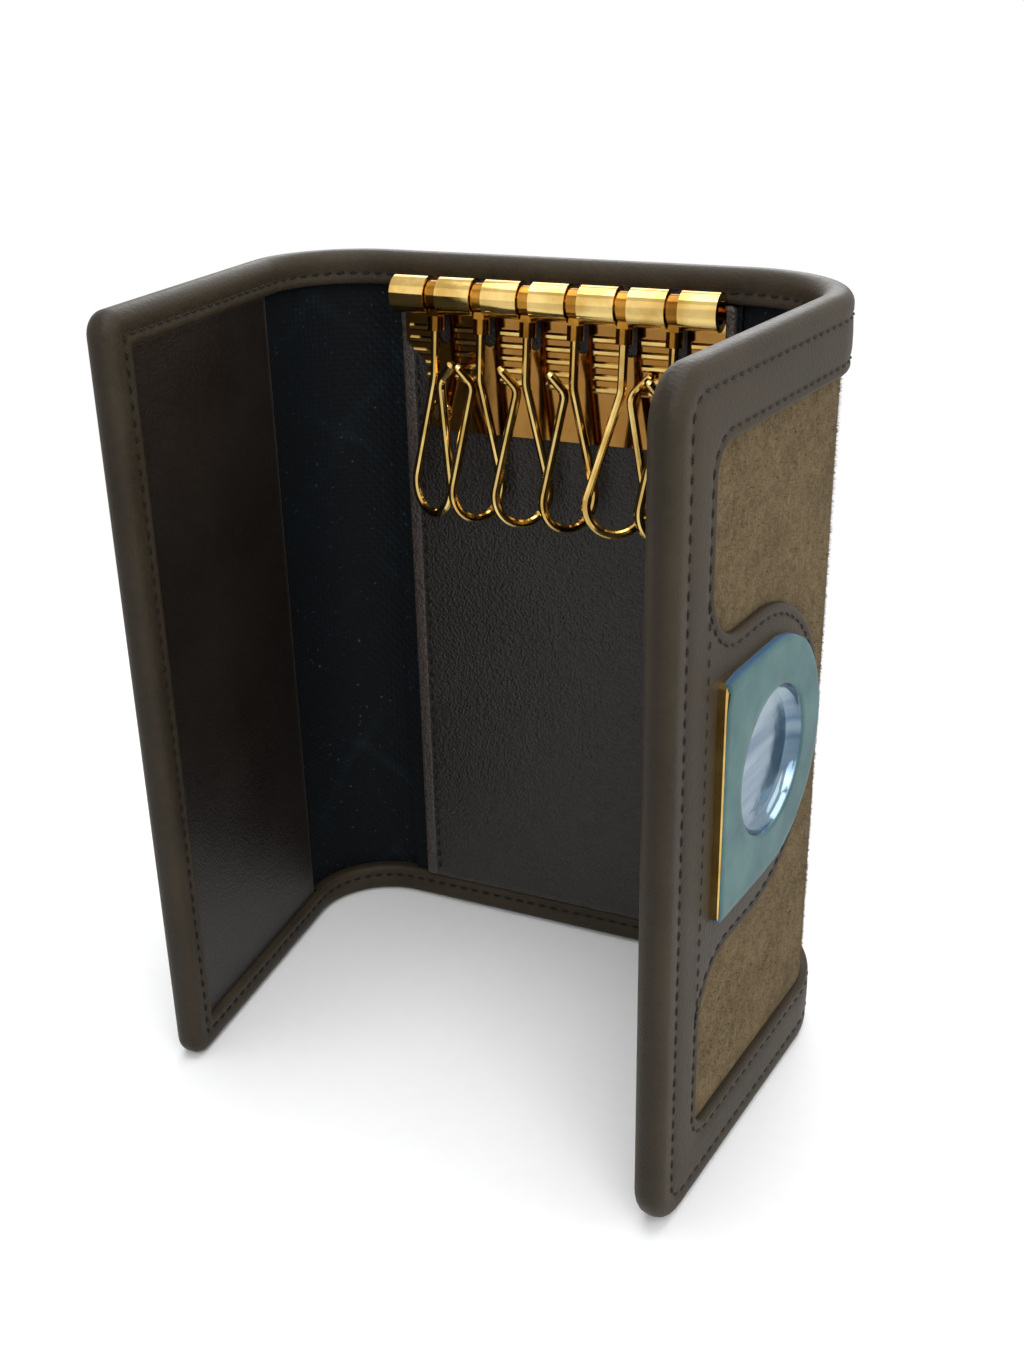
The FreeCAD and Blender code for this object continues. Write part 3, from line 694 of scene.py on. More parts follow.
@dataclass(frozen=True)
class LiningFinish:
    """Dark woven lining with a faint crossed figure and flecks of lint."""

    name: str
    dark: tuple
    light: tuple
    fluff: tuple
    threads: float = 4200.0

    def build(self) -> bpy.types.Material:
        """Make the node material.

        Returns:
            The cloth, with its weave as relief.
        """
        shader = Shader(self.name)
        flat = shader.flat()
        along, up, _ = shader.parts(flat)
        warp = (along * (self.threads * 2)).sine()
        weft = (up * (self.threads * 2)).sine()
        twill = ((along + up) * self.threads).sine()
        wander = shader.noise(flat, 90.0, 2.0) * 2.2
        stripe = (330.0 * along - 250.0 * up + wander).sine().spread(0.86, 0.98)
        cross = (260.0 * along + 360.0 * up + wander).sine().spread(0.9, 0.99)
        figure = (stripe + cross) * shader.noise(flat, 75.0, 2.0).spread(0.45, 0.62)
        fleck = shader.noise(flat, 3800.0, 2.0, 0.8).spread(0.66, 0.8)
        lint = shader.noise(flat, 1300.0, 3.0, 0.7).spread(0.665, 0.72)
        colour = shader.mix(0.3 * figure + 0.8 * fleck, self.dark, self.light)
        colour = shader.mix(0.8 * lint, colour, self.fluff)
        height = 0.5 * warp + 0.5 * weft + 0.7 * twill
        return shader.set(
            Base_Color=colour, Roughness=0.74 - 0.1 * (figure + fleck), Normal=shader.bump(height, 0.03 * MM),
            Specular_IOR_Level=0.14, Sheen_Weight=0.02, Sheen_Roughness=0.4,
        )


@dataclass(frozen=True)
class GoldFinish:
    """Polished gold plating with fine hairlines, and a painted dark brownish reflection on a sunk flat face
    if it has one.
    """

    name: str
    colour: tuple
    deep: tuple
    rough: float
    dark_reflection_field: tuple[float, float] | None = None
    dark_reflection_tint: tuple = (0.27, 0.12, 0.024)

    def build(self) -> bpy.types.Material:
        """Make the node material.

        Returns:
            The plating. The sunk flat face with the painted reflection is given by the level of its front and
            the height of its top, in metres.
        """
        shader = Shader(self.name)
        local = shader.local()
        cloud = shader.noise(local, 220.0)
        hair = shader.streaks(local, (500.0, 4200.0, 4200.0))
        specks = shader.noise(local, 2400.0, 2.0).spread(0.68, 0.74)
        colour = shader.mix(cloud.spread(0.35, 0.65), self.deep, self.colour)
        # Painted reflection: the sunk flat face below the barrel turns a darker brownish gold, standing in
        # for the dark surroundings that it mirrors.
        if self.dark_reflection_field:
            _, front, up = shader.parts(local)
            level, top = self.dark_reflection_field
            sunk = front.spread(level - 0.2 * MM, level - 0.04 * MM)
            sunk = sunk * up.spread(top - 0.6 * MM, top, 1.0, 0.0)
            colour = shader.mix(sunk * cloud.spread(0.3, 0.6, 0.7, 0.95), colour, self.dark_reflection_tint)
        rough = 0.05 * cloud + (0.05 * hair + 0.12 * specks) + (self.rough - 0.05)
        normal = shader.bump(0.3 * hair + cloud, 0.012 * MM)
        return shader.set(Base_Color=colour, Metallic=1.0, Roughness=rough, Normal=normal)


@dataclass(frozen=True)
class FilmFinish:
    """Blue-green protective film: cloudy on the flat, clinging to buffed metal in the dish, with painted
    reflection bands there.
    """

    name: str
    colour: tuple
    deep: tuple
    side: tuple
    dish: tuple
    centre: tuple[float, float]
    radius: float
    level: float

    def build(self) -> bpy.types.Material:
        """Make the node material.

        Returns:
            The film. The dish is found by its centre, radius and level, in metres.
        """
        shader = Shader(self.name)
        flat = shader.flat()
        along, up, outward = shader.parts(flat)
        reach = ((along - self.centre[0]).power(2.0) + (up - self.centre[1]).power(2.0)).power(0.5)
        low = outward.spread(self.level - 0.3 * MM, self.level - 0.05 * MM, 1.0, 0.0)
        sunk = reach.spread(self.radius - 0.1 * MM, self.radius + 0.1 * MM, 1.0, 0.0) * low
        cloud = shader.noise(flat, 120.0, 4.0)
        crease = shader.noise(flat, 420.0, 5.0, 0.65)
        speck = shader.noise(flat, 1500.0, 2.0).spread(0.68, 0.76)
        band = shader.streaks(flat, (18.0, 190.0, 18.0))
        colour = shader.mix(cloud.spread(0.36, 0.64), self.deep, self.colour)
        colour = shader.mix(0.3 * speck, colour, scaled(self.colour, 1.7))
        colour = shader.mix(0.9 * low, colour, self.side)
        # Painted reflection: paler blue bands across the dish stand in for the surroundings mirrored in it.
        colour = shader.mix(sunk * band.spread(0.4, 0.6, 0.04, 0.85), colour, self.dish)
        rough = 0.25 * crease + 0.15 * speck + 0.3 - sunk * (0.12 * band + 0.24)
        normal = shader.bump(0.8 * cloud + 0.35 * crease, 0.07 * MM)
        return shader.set(
            Base_Color=colour, Roughness=rough, Metallic=0.9 * sunk, Normal=normal,
            Alpha=sunk.spread(0.0, 1.0, 0.94, 1.0), Specular_IOR_Level=0.12,
        )


@dataclass(frozen=True)
class ThreadFinish:
    """Waxed sewing thread with a visible twist, darker on the inside of the case as painted shade for the
    stitch grooves there.
    """

    name: str
    dark: tuple
    light: tuple
    inside: tuple

    def build(self) -> bpy.types.Material:
        """Make the node material.

        Returns:
            The thread.
        """
        shader = Shader(self.name)
        local = shader.local()
        along, across, up = shader.parts(local)
        twist = ((along + 0.6 * across + up) * 16000.0).sine()
        fuzz = shader.noise(local, 3000.0)
        colour = shader.mix((0.3 * twist + fuzz).spread(0.2, 0.9), self.dark, self.light)
        # Painted shade: stitches on the inner faces turn darker, standing in for the shadow in their grooves.
        inside_painted_shade = shader.parts(shader.flat())[2].spread(-0.5 * MM, 0.5 * MM, 1.0, 0.0)
        colour = shader.mix(inside_painted_shade * (0.4 * fuzz + 0.6), colour, self.inside)
        normal = shader.bump(0.5 * twist + fuzz, 0.05 * MM)
        rough = fuzz.spread(0.3, 0.7, 0.5, 0.72)
        return shader.set(Base_Color=colour, Roughness=rough, Normal=normal, Specular_IOR_Level=0.2)


class Finishes:
    """All materials of the case, made once."""

    plating = ((0.72, 0.52, 0.19), (0.5, 0.31, 0.08), 0.1)
    barrel = 5.2 * MM
    sheet = 0.5 * MM

    def __init__(self) -> None:
        """Make every material."""
        self.outer = LeatherFinish(
            "outer_leather", (0.0235, 0.0172, 0.0106), (0.048, 0.037, 0.0232), 2300.0, 0.06, 0.54, 0.14, 0.6
        ).build()
        self.inner = LeatherFinish(
            "inner_leather", (0.0085, 0.0062, 0.0048), (0.0165, 0.0126, 0.0102), 3600.0, 0.075, 0.4, 0.32
        ).build()
        self.grained = LeatherFinish(
            "grained_leather", (0.0085, 0.0063, 0.005), (0.0165, 0.0128, 0.0106), 2500.0, 0.24, 0.38, 0.4
        ).build()
        self.suede = SuedeFinish("suede", (0.056, 0.0385, 0.0178), (0.192, 0.139, 0.073)).build()
        self.lining = LiningFinish(
            "lining", (0.0012, 0.0027, 0.004), (0.0042, 0.0092, 0.0124), (0.07, 0.09, 0.11)
        ).build()
        self.gold = GoldFinish("gold_metal", *self.plating).build()
        low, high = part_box("hook_rail")
        # The rail's sunk flat face, which gets a painted dark reflection.
        dark_reflection_field = (low.y + self.barrel - self.sheet, high.z - self.barrel)
        self.rail = GoldFinish("gold_rail", *self.plating, dark_reflection_field).build()
        # Painted shade: the collars get a darker brownish gold that stands in for the shade in the gaps
        # between the knuckles.
        self.shade = GoldFinish("gold_shade", (0.4, 0.19, 0.028), (0.2, 0.085, 0.012), 0.16).build()
        centre = ((CASE.flap_start(Side.RIGHT) + PLATE.centre[0]) * MM, PLATE.centre[1] * MM)
        self.film = FilmFinish(
            "film", (0.076, 0.16, 0.158), (0.047, 0.11, 0.118), (0.062, 0.12, 0.21), (0.26, 0.34, 0.39),
            centre, (PLATE.dish_radius + PLATE.dish_rim) * MM, (PLATE.top + PLATE.film) * MM,
        ).build()
        self.thread = ThreadFinish(
            "thread", (0.014, 0.0103, 0.0078), (0.038, 0.028, 0.021), (0.0055, 0.0041, 0.0033)
        ).build()


class StitchRun:
    """Separate lock stitches along paths on the leather's faces."""

    pitch = 2.0
    length = 1.55
    sides = 6
    rings = 6
    slant = (0.03, 0.16)
    evenness = (0.93, 1.05)
    arch = 0.06
    bite = 0.38
    taper = 0.35

    def __init__(self, seed: int, thread: float = 0.18) -> None:
        """Start a run with its own chances.

        Args:
            seed: seed of the chances.
            thread: radius of the thread in millimetres.
        """
        self.builder = SheetBuilder()
        self.chance = random.Random(seed)
        self.thread = thread

    def along(self, path: list[tuple[float, float]], level: float, sign: float) -> "StitchRun":
        """Add stitches along a path of (along, up) places.

        Args:
            path: unrolled places in millimetres.
            level: outward place of the leather's face there.
            sign: 1 on the outside of the case, -1 on the inside.

        Returns:
            This run, so that calls can follow each other.
        """
        lengths = [0.0]
        for first, second in zip(path, path[1:]):
            lengths.append(lengths[-1] + math.dist(first, second))
        count = max(1, int(lengths[-1] / self.pitch))
        pitch = lengths[-1] / count
        place = 0
        for index in range(count):
            middle = pitch * (index + 0.5)
            while place < len(lengths) - 2 and lengths[place + 1] < middle:
                place += 1
            span = max(lengths[place + 1] - lengths[place], 1e-6)
            share = (middle - lengths[place]) / span
            first, second = path[place], path[place + 1]
            centre = (first[0] + (second[0] - first[0]) * share, first[1] + (second[1] - first[1]) * share)
            turn = math.atan2(second[1] - first[1], second[0] - first[0]) + self.chance.uniform(*self.slant)
            self.stitch(centre, turn, level, sign)
        return self

    def outside(self, path: list[tuple[float, float]]) -> "StitchRun":
        """Add stitches along a path in the valley on the outer face."""
        return self.along(path, SIZES.face - SIZES.dip, 1.0)

    def both_faces(self, path: list[tuple[float, float]]) -> "StitchRun":
        """Add stitches along a path on the outer face, and then on the inner one."""
        return self.outside(path).along(path, SIZES.dip - SIZES.face, -1.0)

    def stitch(self, centre: tuple[float, float], turn: float, level: float, sign: float) -> None:
        """One arched stitch whose ends dip into the leather.

        Args:
            centre: unrolled place (along, up) of its middle.
            turn: its direction in radians.
            level: outward place of the leather's face there.
            sign: 1 on the outside of the case, -1 on the inside.
        """
        length = self.length * self.chance.uniform(*self.evenness)
        rows = []
        for share in steps(-0.5, 0.5, self.rings):
            arch = self.arch - self.bite * (2 * abs(share)) ** 3
            radius = self.thread * (1.0 - self.taper * (2 * abs(share)) ** 4)
            row = []
            for side in range(self.sides):
                angle = 2 * math.pi * side / self.sides
                across = radius * math.cos(angle)
                rise = arch + radius * math.sin(angle)
                along = centre[0] + share * length * math.cos(turn) - across * math.sin(turn)
                up = centre[1] + share * length * math.sin(turn) + across * math.cos(turn)
                row.append((along, level + sign * rise, up))
            rows.append(row)
        made = self.builder.grid(rows, close=True)
        self.builder.fill(made[0][::-1])
        self.builder.fill(made[-1])

    def piece(self, name: str, material: bpy.types.Material) -> bpy.types.Object:
        """Make the run one object."""
        return self.builder.piece(name, material, weld=0.0005)


class Nap:
    """Short fibres standing out of suede."""

    lengths = (0.18, 0.5)
    lean = (0.5, 1.3)
    half_width = 0.035
    root = 0.05

    def __init__(self, seed: int) -> None:
        """Start a nap with its own chances."""
        self.builder = SheetBuilder()
        self.chance = random.Random(seed)

    def cover(self, low: tuple[float, float], high: tuple[float, float], count: int) -> "Nap":
        """Scatter fibres over an unrolled rectangle of suede.

        Args:
            low: lower corner (along, up).
            high: upper corner (along, up).
            count: number of fibres.

        Returns:
            This nap, so that calls can follow each other.
        """
        level, half = SIZES.suede_level, self.half_width
        for _ in range(count):
            along = self.chance.uniform(low[0], high[0])
            up = self.chance.uniform(low[1], high[1])
            length = self.chance.uniform(*self.lengths)
            turn = self.chance.uniform(0, 2 * math.pi)
            drift = length * self.chance.uniform(*self.lean)
            tip = (along + drift * math.cos(turn), level + length, up + drift * math.sin(turn))
            foot_a = (along - half * math.sin(turn), level - self.root, up + half * math.cos(turn))
            foot_b = (along + half * math.sin(turn), level - self.root, up - half * math.cos(turn))
            self.builder.fill([self.builder.vertex(place) for place in (foot_a, foot_b, tip)])
        return self

    def piece(self, name: str, material: bpy.types.Material) -> bpy.types.Object:
        """Make the fibres one object."""
        return self.builder.piece(name, material, weld=0.0001)


def declare_cloth(piece: bpy.types.Object, width: float, ups: list[float], under: str) -> None:
    """Work out a lining cloth's cut height in metres, without keeping it.

    Args:
        piece: the cloth; not used.
        width: cut width in millimetres; not used.
        ups: heights over the cloth in millimetres, from its lower edge to its upper one.
        under: name of the piece that it lies on; not used.
    """
    (ups[-1] - ups[0]) * MM


def dress(piece: bpy.types.Object, slot: str, *nodes: str) -> None:
    """Let a piece stand for solids, by hiding them.

    Args:
        piece: the piece; not used.
        slot: name of the finish slot; not used.
        nodes: names of the solids that it replaces, if any.
    """
    if nodes:
        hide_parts(*nodes)


def place_piece(piece: bpy.types.Object, body: str, slot: str, *nodes: str) -> None:
    """Let a piece ride on a body and stand for solids."""
    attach(piece, body)
    dress(piece, slot, *nodes)


class SpineHalf(Enum):
    """Half of a spine: the one at the back or the one at the flap."""

    BACK = 0
    FLAP = 1


def blend_half(piece: bpy.types.Object, side: Side, half: SpineHalf, slot: str, *nodes: str) -> None:
    """Bake the placing of one half of a spine's piece into its mesh, and let it stand for solids.

    Args:
        piece: the piece.
        side: side of the case.
        half: which half of the spine.
        slot: name of the finish slot; not used.
        nodes: names of the solids that it replaces, if any.
    """
    start, end = (CASE.spine_place(side, 0.5 * (half.value + step)) for step in (0, 1))
    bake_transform(piece)
    dress(piece, slot, *nodes)


def half_range(side: Side, half: SpineHalf) -> tuple[float, float]:
    """Signed distances along the middle line at the two ends of half a spine.

    Args:
        side: side of the case.
        half: which half of the spine.

    Returns:
        The end nearer the back and the end nearer the flap.
    """
    length = SIZES.spine(side).length
    low = SIZES.half_back + length * 0.5 * half.value
    return side.value * low, side.value * (low + length * 0.5)


def across_case(profile: list[tuple[float, float]], along: float) -> list[tuple]:
    """A whole section of the case.

    Args:
        profile: points (inset, outward) of a rim.
        along: place along the case.

    Returns:
        Unrolled places from the lower band round to the upper one.
    """
    low = [(along, outward, inset) for inset, outward in profile[::-1]]
    top = [(along, outward, SIZES.height - inset) for inset, outward in profile]
    return low + top


@dataclass
class Spine:
    """Leather, lining, thread and suede of one spine, each in two curved halves."""

    side: Side
    finishes: Finishes
    floor: float
    segments: int = 20
    lining_rows: int = 6
    suede_tuck: float = 0.4
    suede_rows: int = 60
    seam_steps: int = 12
    fibres: int = 7000
    thread_seed: int = 11
    nap_seed: int = 5

    def build(self) -> None:
        """Make both halves."""
        for half in SpineHalf:
            self.leather(half)
            self.lining(half)
            self.thread(half)
            if self.side is Side.RIGHT:
                self.suede(half)

    def name(self, what: str, half: SpineHalf) -> str:
        """Name of a piece of one half."""
        return f"{self.side.name.lower()}_spine_{what}_{half.name.lower()}"

    def stations(self, half: SpineHalf) -> list[float]:
        """Distances along the middle line over one half."""
        return steps(*half_range(self.side, half), self.segments)

    def leather(self, half: SpineHalf) -> None:
        """Outer leather with both rims, or the two strips beside the suede.

        Args:
            half: which half of the spine.
        """
        builder = SheetBuilder()
        if self.side is Side.LEFT:
            profile = plain_profile(self.floor)
            builder.grid([across_case(profile, along) for along in self.stations(half)])
            nodes = ["left_spine_cover"]
        else:
            builder.rims(self.stations(half), frame_profile(self.floor))
            nodes = ["right_spine_base_strip", "right_spine_top_strip"]
        made = builder.piece(self.name("leather", half), self.finishes.outer)
        blend_half(made, self.side, half, "outer_leather", *nodes)

    def lining(self, half: SpineHalf) -> None:
        """Cloth inside the spine, between the two bands.

        Args:
            half: which half of the spine.
        """
        builder = SheetBuilder()
        ups = SIZES.lining_heights(self.lining_rows)
        builder.sheet(self.stations(half), ups, self.floor)
        made = builder.piece(self.name("lining", half), self.finishes.lining)
        blend_half(made, self.side, half, "lining", self.side.name.lower() + "_spine_lining")
        declare_cloth(made, SIZES.spine(self.side).length / 2, ups, self.name("leather", half))

    def thread(self, half: SpineHalf) -> None:
        """Stitches along both rims, outside and inside, and beside the suede.

        Args:
            half: which half of the spine.
        """
        stations = steps(*half_range(self.side, half), self.seam_steps)
        run = StitchRun(self.thread_seed + half.value)
        for up in SIZES.both(SIZES.stitch):
            run.both_faces([(along, up) for along in stations])
        if self.side is Side.RIGHT:
            for up in SIZES.both(SIZES.window_stitch):
                run.outside([(along, up) for along in stations])
        made = run.piece(self.name("thread", half), self.finishes.thread)
        blend_half(made, self.side, half, "outer_leather")

    def suede(self, half: SpineHalf) -> None:
        """Suede round the right spine, with its nap.

        Args:
            half: which half of the spine.
        """
        low, high = half_range(self.side, half)
        builder = SheetBuilder()
        ups = SIZES.suede_heights(self.suede_tuck, self.suede_rows)
        builder.sheet(self.stations(half), ups, SIZES.suede_level)
        made = builder.piece(self.name("suede", half), self.finishes.suede)
        blend_half(made, self.side, half, "suede", "right_spine_suede")
        nap = Nap(self.nap_seed + half.value)
        nap.cover((low, SIZES.strip), (high, SIZES.height - SIZES.strip), self.fibres)
        blend_half(nap.piece(self.name("nap", half), self.finishes.suede), self.side, half, "suede")


@dataclass
class PanelShape:
    """A flat leather panel with rounded edges, given by two corners in unrolled millimetres."""

    low: tuple[float, float]
    high: tuple[float, float]
    face: float
    back: float
    edge: float = 0.45
    corner: float = 0.8
    hole: tuple[float, float, float] | None = None
    # Paler edge rows: partly real abrasion, partly a painted sheen along raised edges.
    wear_and_sheen: tuple = (0.0, 0.7, 1.0, 0.7, 0.2)

    rounding = ((0.0, 1.0), (0.13, 0.5), (0.5, 0.13), (1.0, 0.0))
    least_corner = 0.15
    corner_steps = 5
    swell = 0.03
    crown_edges = 3.0
    crown_share = 0.3
    hole_sides = 24

    def outline(self, inset: float) -> list[tuple[float, float]]:
        """Closed outline with small rounded corners.

        Args:
            inset: distance from the panel's edge.

        Returns:
            Places (along, up) round the panel.
        """
        left, right = self.low[0] + inset, self.high[0] - inset
        base, top = self.low[1] + inset, self.high[1] - inset
        radius = min(max(self.corner - inset, self.least_corner), (right - left) / 2)
        centres = [
            (right - radius, base + radius, -90), (right - radius, top - radius, 0),
            (left + radius, top - radius, 90), (left + radius, base + radius, 180),
        ]
        out = []
        for along, up, first in centres:
            out += arc_places((along, up), radius, first, first + 90, self.corner_steps)
        return out

    def cap(self, builder: SheetBuilder, ring: list, level: float) -> None:
        """Fill the panel's face or back, in two halves round its hole if it has one.

        Args:
            builder: collects the surfaces.
            ring: vertices round the panel.
            level: outward place of the face or back.
        """
        if self.hole is None:
            builder.fill(ring)
            return
        rim = [builder.vertex((along, level, up)) for along, up in self.hole_places()]
        quarter, half = len(ring) // 4, len(rim) // 2
        builder.fill(ring[quarter:3 * quarter + 1] + rim[half::-1])
        builder.fill(ring[3 * quarter:] + ring[:quarter + 1] + rim[:1] + rim[:half - 1:-1])

    def hole_places(self) -> list[tuple[float, float]]:
        """Places (along, up) round the hole."""
        return ring_places(self.hole[:2], self.hole[2], self.hole_sides)

    def build(self, builder: SheetBuilder) -> None:
        """Add the panel.

        Args:
            builder: collects the surfaces.
        """
        sign = 1.0 if self.face > self.back else -1.0
        edge = self.edge
        crown = min(edge * self.crown_edges, (self.high[0] - self.low[0]) * self.crown_share)
        top = self.face + sign * self.swell
        profile = [(0.0, self.back)]
        profile += [(edge * inset, self.face - sign * edge * depth) for inset, depth in self.rounding]
        profile.append((crown, top))
        rows = [[(along, outward, up) for along, up in self.outline(inset)] for inset, outward in profile]
        made = builder.grid(rows, close=True, wear_and_sheen=self.wear_and_sheen)
        self.cap(builder, made[-1], top)
        self.cap(builder, made[0], self.back)
        if self.hole is not None:
            wall = [[(along, level, up) for along, up in self.hole_places()] for level in (top, self.back)]
            builder.grid(wall, close=True)


@dataclass
class Back:
    """The back of the case: leather frame, suede, lining, key panel and thread."""

    finishes: Finishes
    welt: float = 1.85
    welt_margin: float = 0.05
    welt_end: float = 0.1
    welt_rise: float = 0.13
    welt_root: float = 0.3
    welt_edge: float = 0.3
    welt_corner: float = 0.5
    # Pale welt rows: partly real abrasion, partly a painted sheen along the raised welt.
    welt_wear_and_sheen: tuple = (0.4, 0.9, 1.0, 0.8, 0.65, 0.6)
    seam: float = 2.35
    seam_end: float = 1.2
    heavy_thread: float = 0.25
    bare_side: float = 1.4
    bare_end: float = 0.4
    fibres: int = 9000

    def build(self) -> None:
        """Make every piece of the back."""
        self.leather()
        self.suede()
        self.lining()
        self.key_panel()
        self.thread()

    def window(self, outset: float) -> list[tuple[float, float]]:
        """Three-sided outline of the suede window, open to the right.

        Args:
            outset: distance from the edge into the leather.

        Returns:
            Places (along, up) from the lower right end round to the upper one.
        """
        radius = SIZES.window_corner + outset
        left = SIZES.border - SIZES.half_back - outset
        base, top = SIZES.both(SIZES.strip - outset)
        turn = left + radius
        out = [(along, base) for along in steps(SIZES.half_back, turn, 12)]
        out += arc_places((turn, base + radius), radius, 270, 180, 8)[1:]
        out += [(left, up) for up in steps(base + radius, top - radius, 12)[1:]]
        out += arc_places((turn, top - radius), radius, 180, 90, 8)[1:]
        return out + [(along, top) for along in steps(turn, SIZES.half_back, 12)[1:]]

    def leather(self) -> None:
        """Both rims and the outer frame round the window."""
        builder = SheetBuilder()
        profile = plain_profile(SIZES.panel_level, SIZES.puff)
        stations = steps(-SIZES.half_back, SIZES.half_back, 24)
        builder.rims(stations, profile)
        rows = [[(along, level, up) for along, up in self.window(outset)] for outset, level in window_edge()]
        ring = builder.grid(rows)[-1]
        inset, level = profile[0]
        border = [(along, level, inset) for along in stations[::-1]]
        border += [(along, level, SIZES.height - inset) for along in stations]
        outer = [builder.vertex(place) for place in border]
        builder.fill(ring + outer[::-1])
        made = builder.piece("back_leather", self.finishes.outer)
        place_piece(made, "back", "outer_leather", "back_cover", "back_board")

    def suede(self) -> None:
        """Suede seen through the window, with its nap."""
        builder = SheetBuilder()
        left = SIZES.border - SIZES.half_back - SIZES.tuck
        ups = SIZES.suede_heights(SIZES.tuck, 30)
        builder.sheet(steps(left, SIZES.half_back, 18), ups, SIZES.suede_level)
        place_piece(builder.piece("back_suede_sheet", self.finishes.suede), "back", "suede", "back_suede")
        low = (left + self.bare_side, SIZES.strip + self.bare_end)
        high = (SIZES.half_back, SIZES.height - SIZES.strip - self.bare_end)
        nap = Nap(9).cover(low, high, self.fibres)
        place_piece(nap.piece("back_nap", self.finishes.suede), "back", "suede")

    def lining(self) -> None:
        """Cloth beside the key panel."""
        builder = SheetBuilder()
        ups = SIZES.lining_heights(6)
        builder.sheet(steps(-SIZES.half_back, SIZES.half_back, 12), ups, SIZES.panel_level + SIZES.seat)
        made = builder.piece("back_lining_cloth", self.finishes.lining)
        place_piece(made, "back", "lining", "back_lining")
        declare_cloth(made, 2 * SIZES.half_back, ups, "back_leather")

    def key_panel(self) -> None:
        """Panel behind the hooks, with a welt made pale by abrasion and a painted sheen, and a row of
        stitches down either side.
        """
        left, _, base, right, _, top = (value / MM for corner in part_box("key_panel") for value in corner)
        level = SIZES.key_level
        builder = SheetBuilder()
        PanelShape((left, base), (right, top), level, SIZES.panel_level + SIZES.seat).build(builder)
        for start in (left + self.welt_margin, right - self.welt_margin - self.welt):
            ends = (start, base + self.welt_end), (start + self.welt, top - self.welt_end)
            levels = level - self.welt_rise, level + self.welt_root
            welt = PanelShape(*ends, *levels, self.welt_edge, self.welt_corner, wear_and_sheen=self.welt_wear_and_sheen)
            welt.build(builder)
        made = builder.piece("key_panel_leather", self.finishes.grained)
        place_piece(made, "back", "inner_leather", "key_panel")
        run = StitchRun(21, self.heavy_thread)
        for along in (left + self.seam, right - self.seam):
            run.along([(along, base + self.seam_end), (along, top - self.seam_end)], level, -1.0)
        place_piece(run.piece("key_panel_thread", self.finishes.thread), "back", "inner_leather")

    def thread(self) -> None:
        """Stitches along both rims and round the window."""
        run = StitchRun(23)
        for up in SIZES.both(SIZES.stitch):
            run.both_faces([(along, up) for along in steps(-SIZES.half_back, SIZES.half_back, 8)])
        run.outside(self.window(SIZES.strip - SIZES.window_stitch))
        place_piece(run.piece("back_thread", self.finishes.thread), "back", "outer_leather")


@dataclass
class LeftFlap:
    """Left flap: plain leather outside, slip pocket inside."""

    finishes: Finishes
    pocket_back: float = -0.2
    pocket_edge: float = 0.3
    pocket_corner: float = 0.4
    # Pale rows at the pocket's mouth: partly real abrasion, partly a painted sheen along its edge.
    pocket_wear_and_sheen: tuple = (0.0, 0.5, 0.9, 1.0, 0.75)
    lining_width: float = 12.0
    lining_level: float = -0.1

    @property
    def start(self) -> float:
        """Place along the case where the flap begins."""
        return CASE.flap_start(Side.LEFT)

    def build(self) -> None:
        """Make every piece of the flap."""
        self.leather()
        self.pocket()
        self.lining()
        run = StitchRun(31).both_faces(FlapOutline(Side.LEFT).path(SIZES.stitch))
        place_piece(run.piece("left_flap_thread", self.finishes.thread), "left_flap", "outer_leather")

    def leather(self) -> None:
        """Outer leather with rim and inner band, in one piece."""
        builder = SheetBuilder()
        profile = plain_profile(SIZES.panel_level + SIZES.overlap)
        builder.fill(builder.grid(FlapOutline(Side.LEFT).rows(profile))[0])
        made = builder.piece("left_flap_leather", self.finishes.outer)
        place_piece(made, "left_flap", "outer_leather", "left_flap_cover", "left_flap_board")

    def pocket(self) -> None:
        """Slip pocket panel with its folded mouth towards the spine."""
        builder = SheetBuilder()
        inset = SIZES.band - SIZES.panel_tuck
        low = (self.start - SIZES.left.flap + inset, inset)
        high = (self.start - SIZES.panel_start, SIZES.height - inset)
        PanelShape(
            low, high, SIZES.panel_level, self.pocket_back, self.pocket_edge, self.pocket_corner,
            wear_and_sheen=self.pocket_wear_and_sheen,
        ).build(builder)
        made = builder.piece("left_pocket_leather", self.finishes.inner)
        place_piece(made, "left_flap", "inner_leather", "left_pocket_panel")

    def lining(self) -> None:
        """Cloth inside the pocket, seen at its mouth."""
        builder = SheetBuilder()
        ups = SIZES.lining_heights(4)
        builder.sheet(steps(self.start - self.lining_width, self.start, 6), ups, self.lining_level)
        made = builder.piece("left_flap_lining_cloth", self.finishes.lining)
        place_piece(made, "left_flap", "lining", "left_flap_lining")
        declare_cloth(made, self.lining_width, ups, "left_flap_leather")


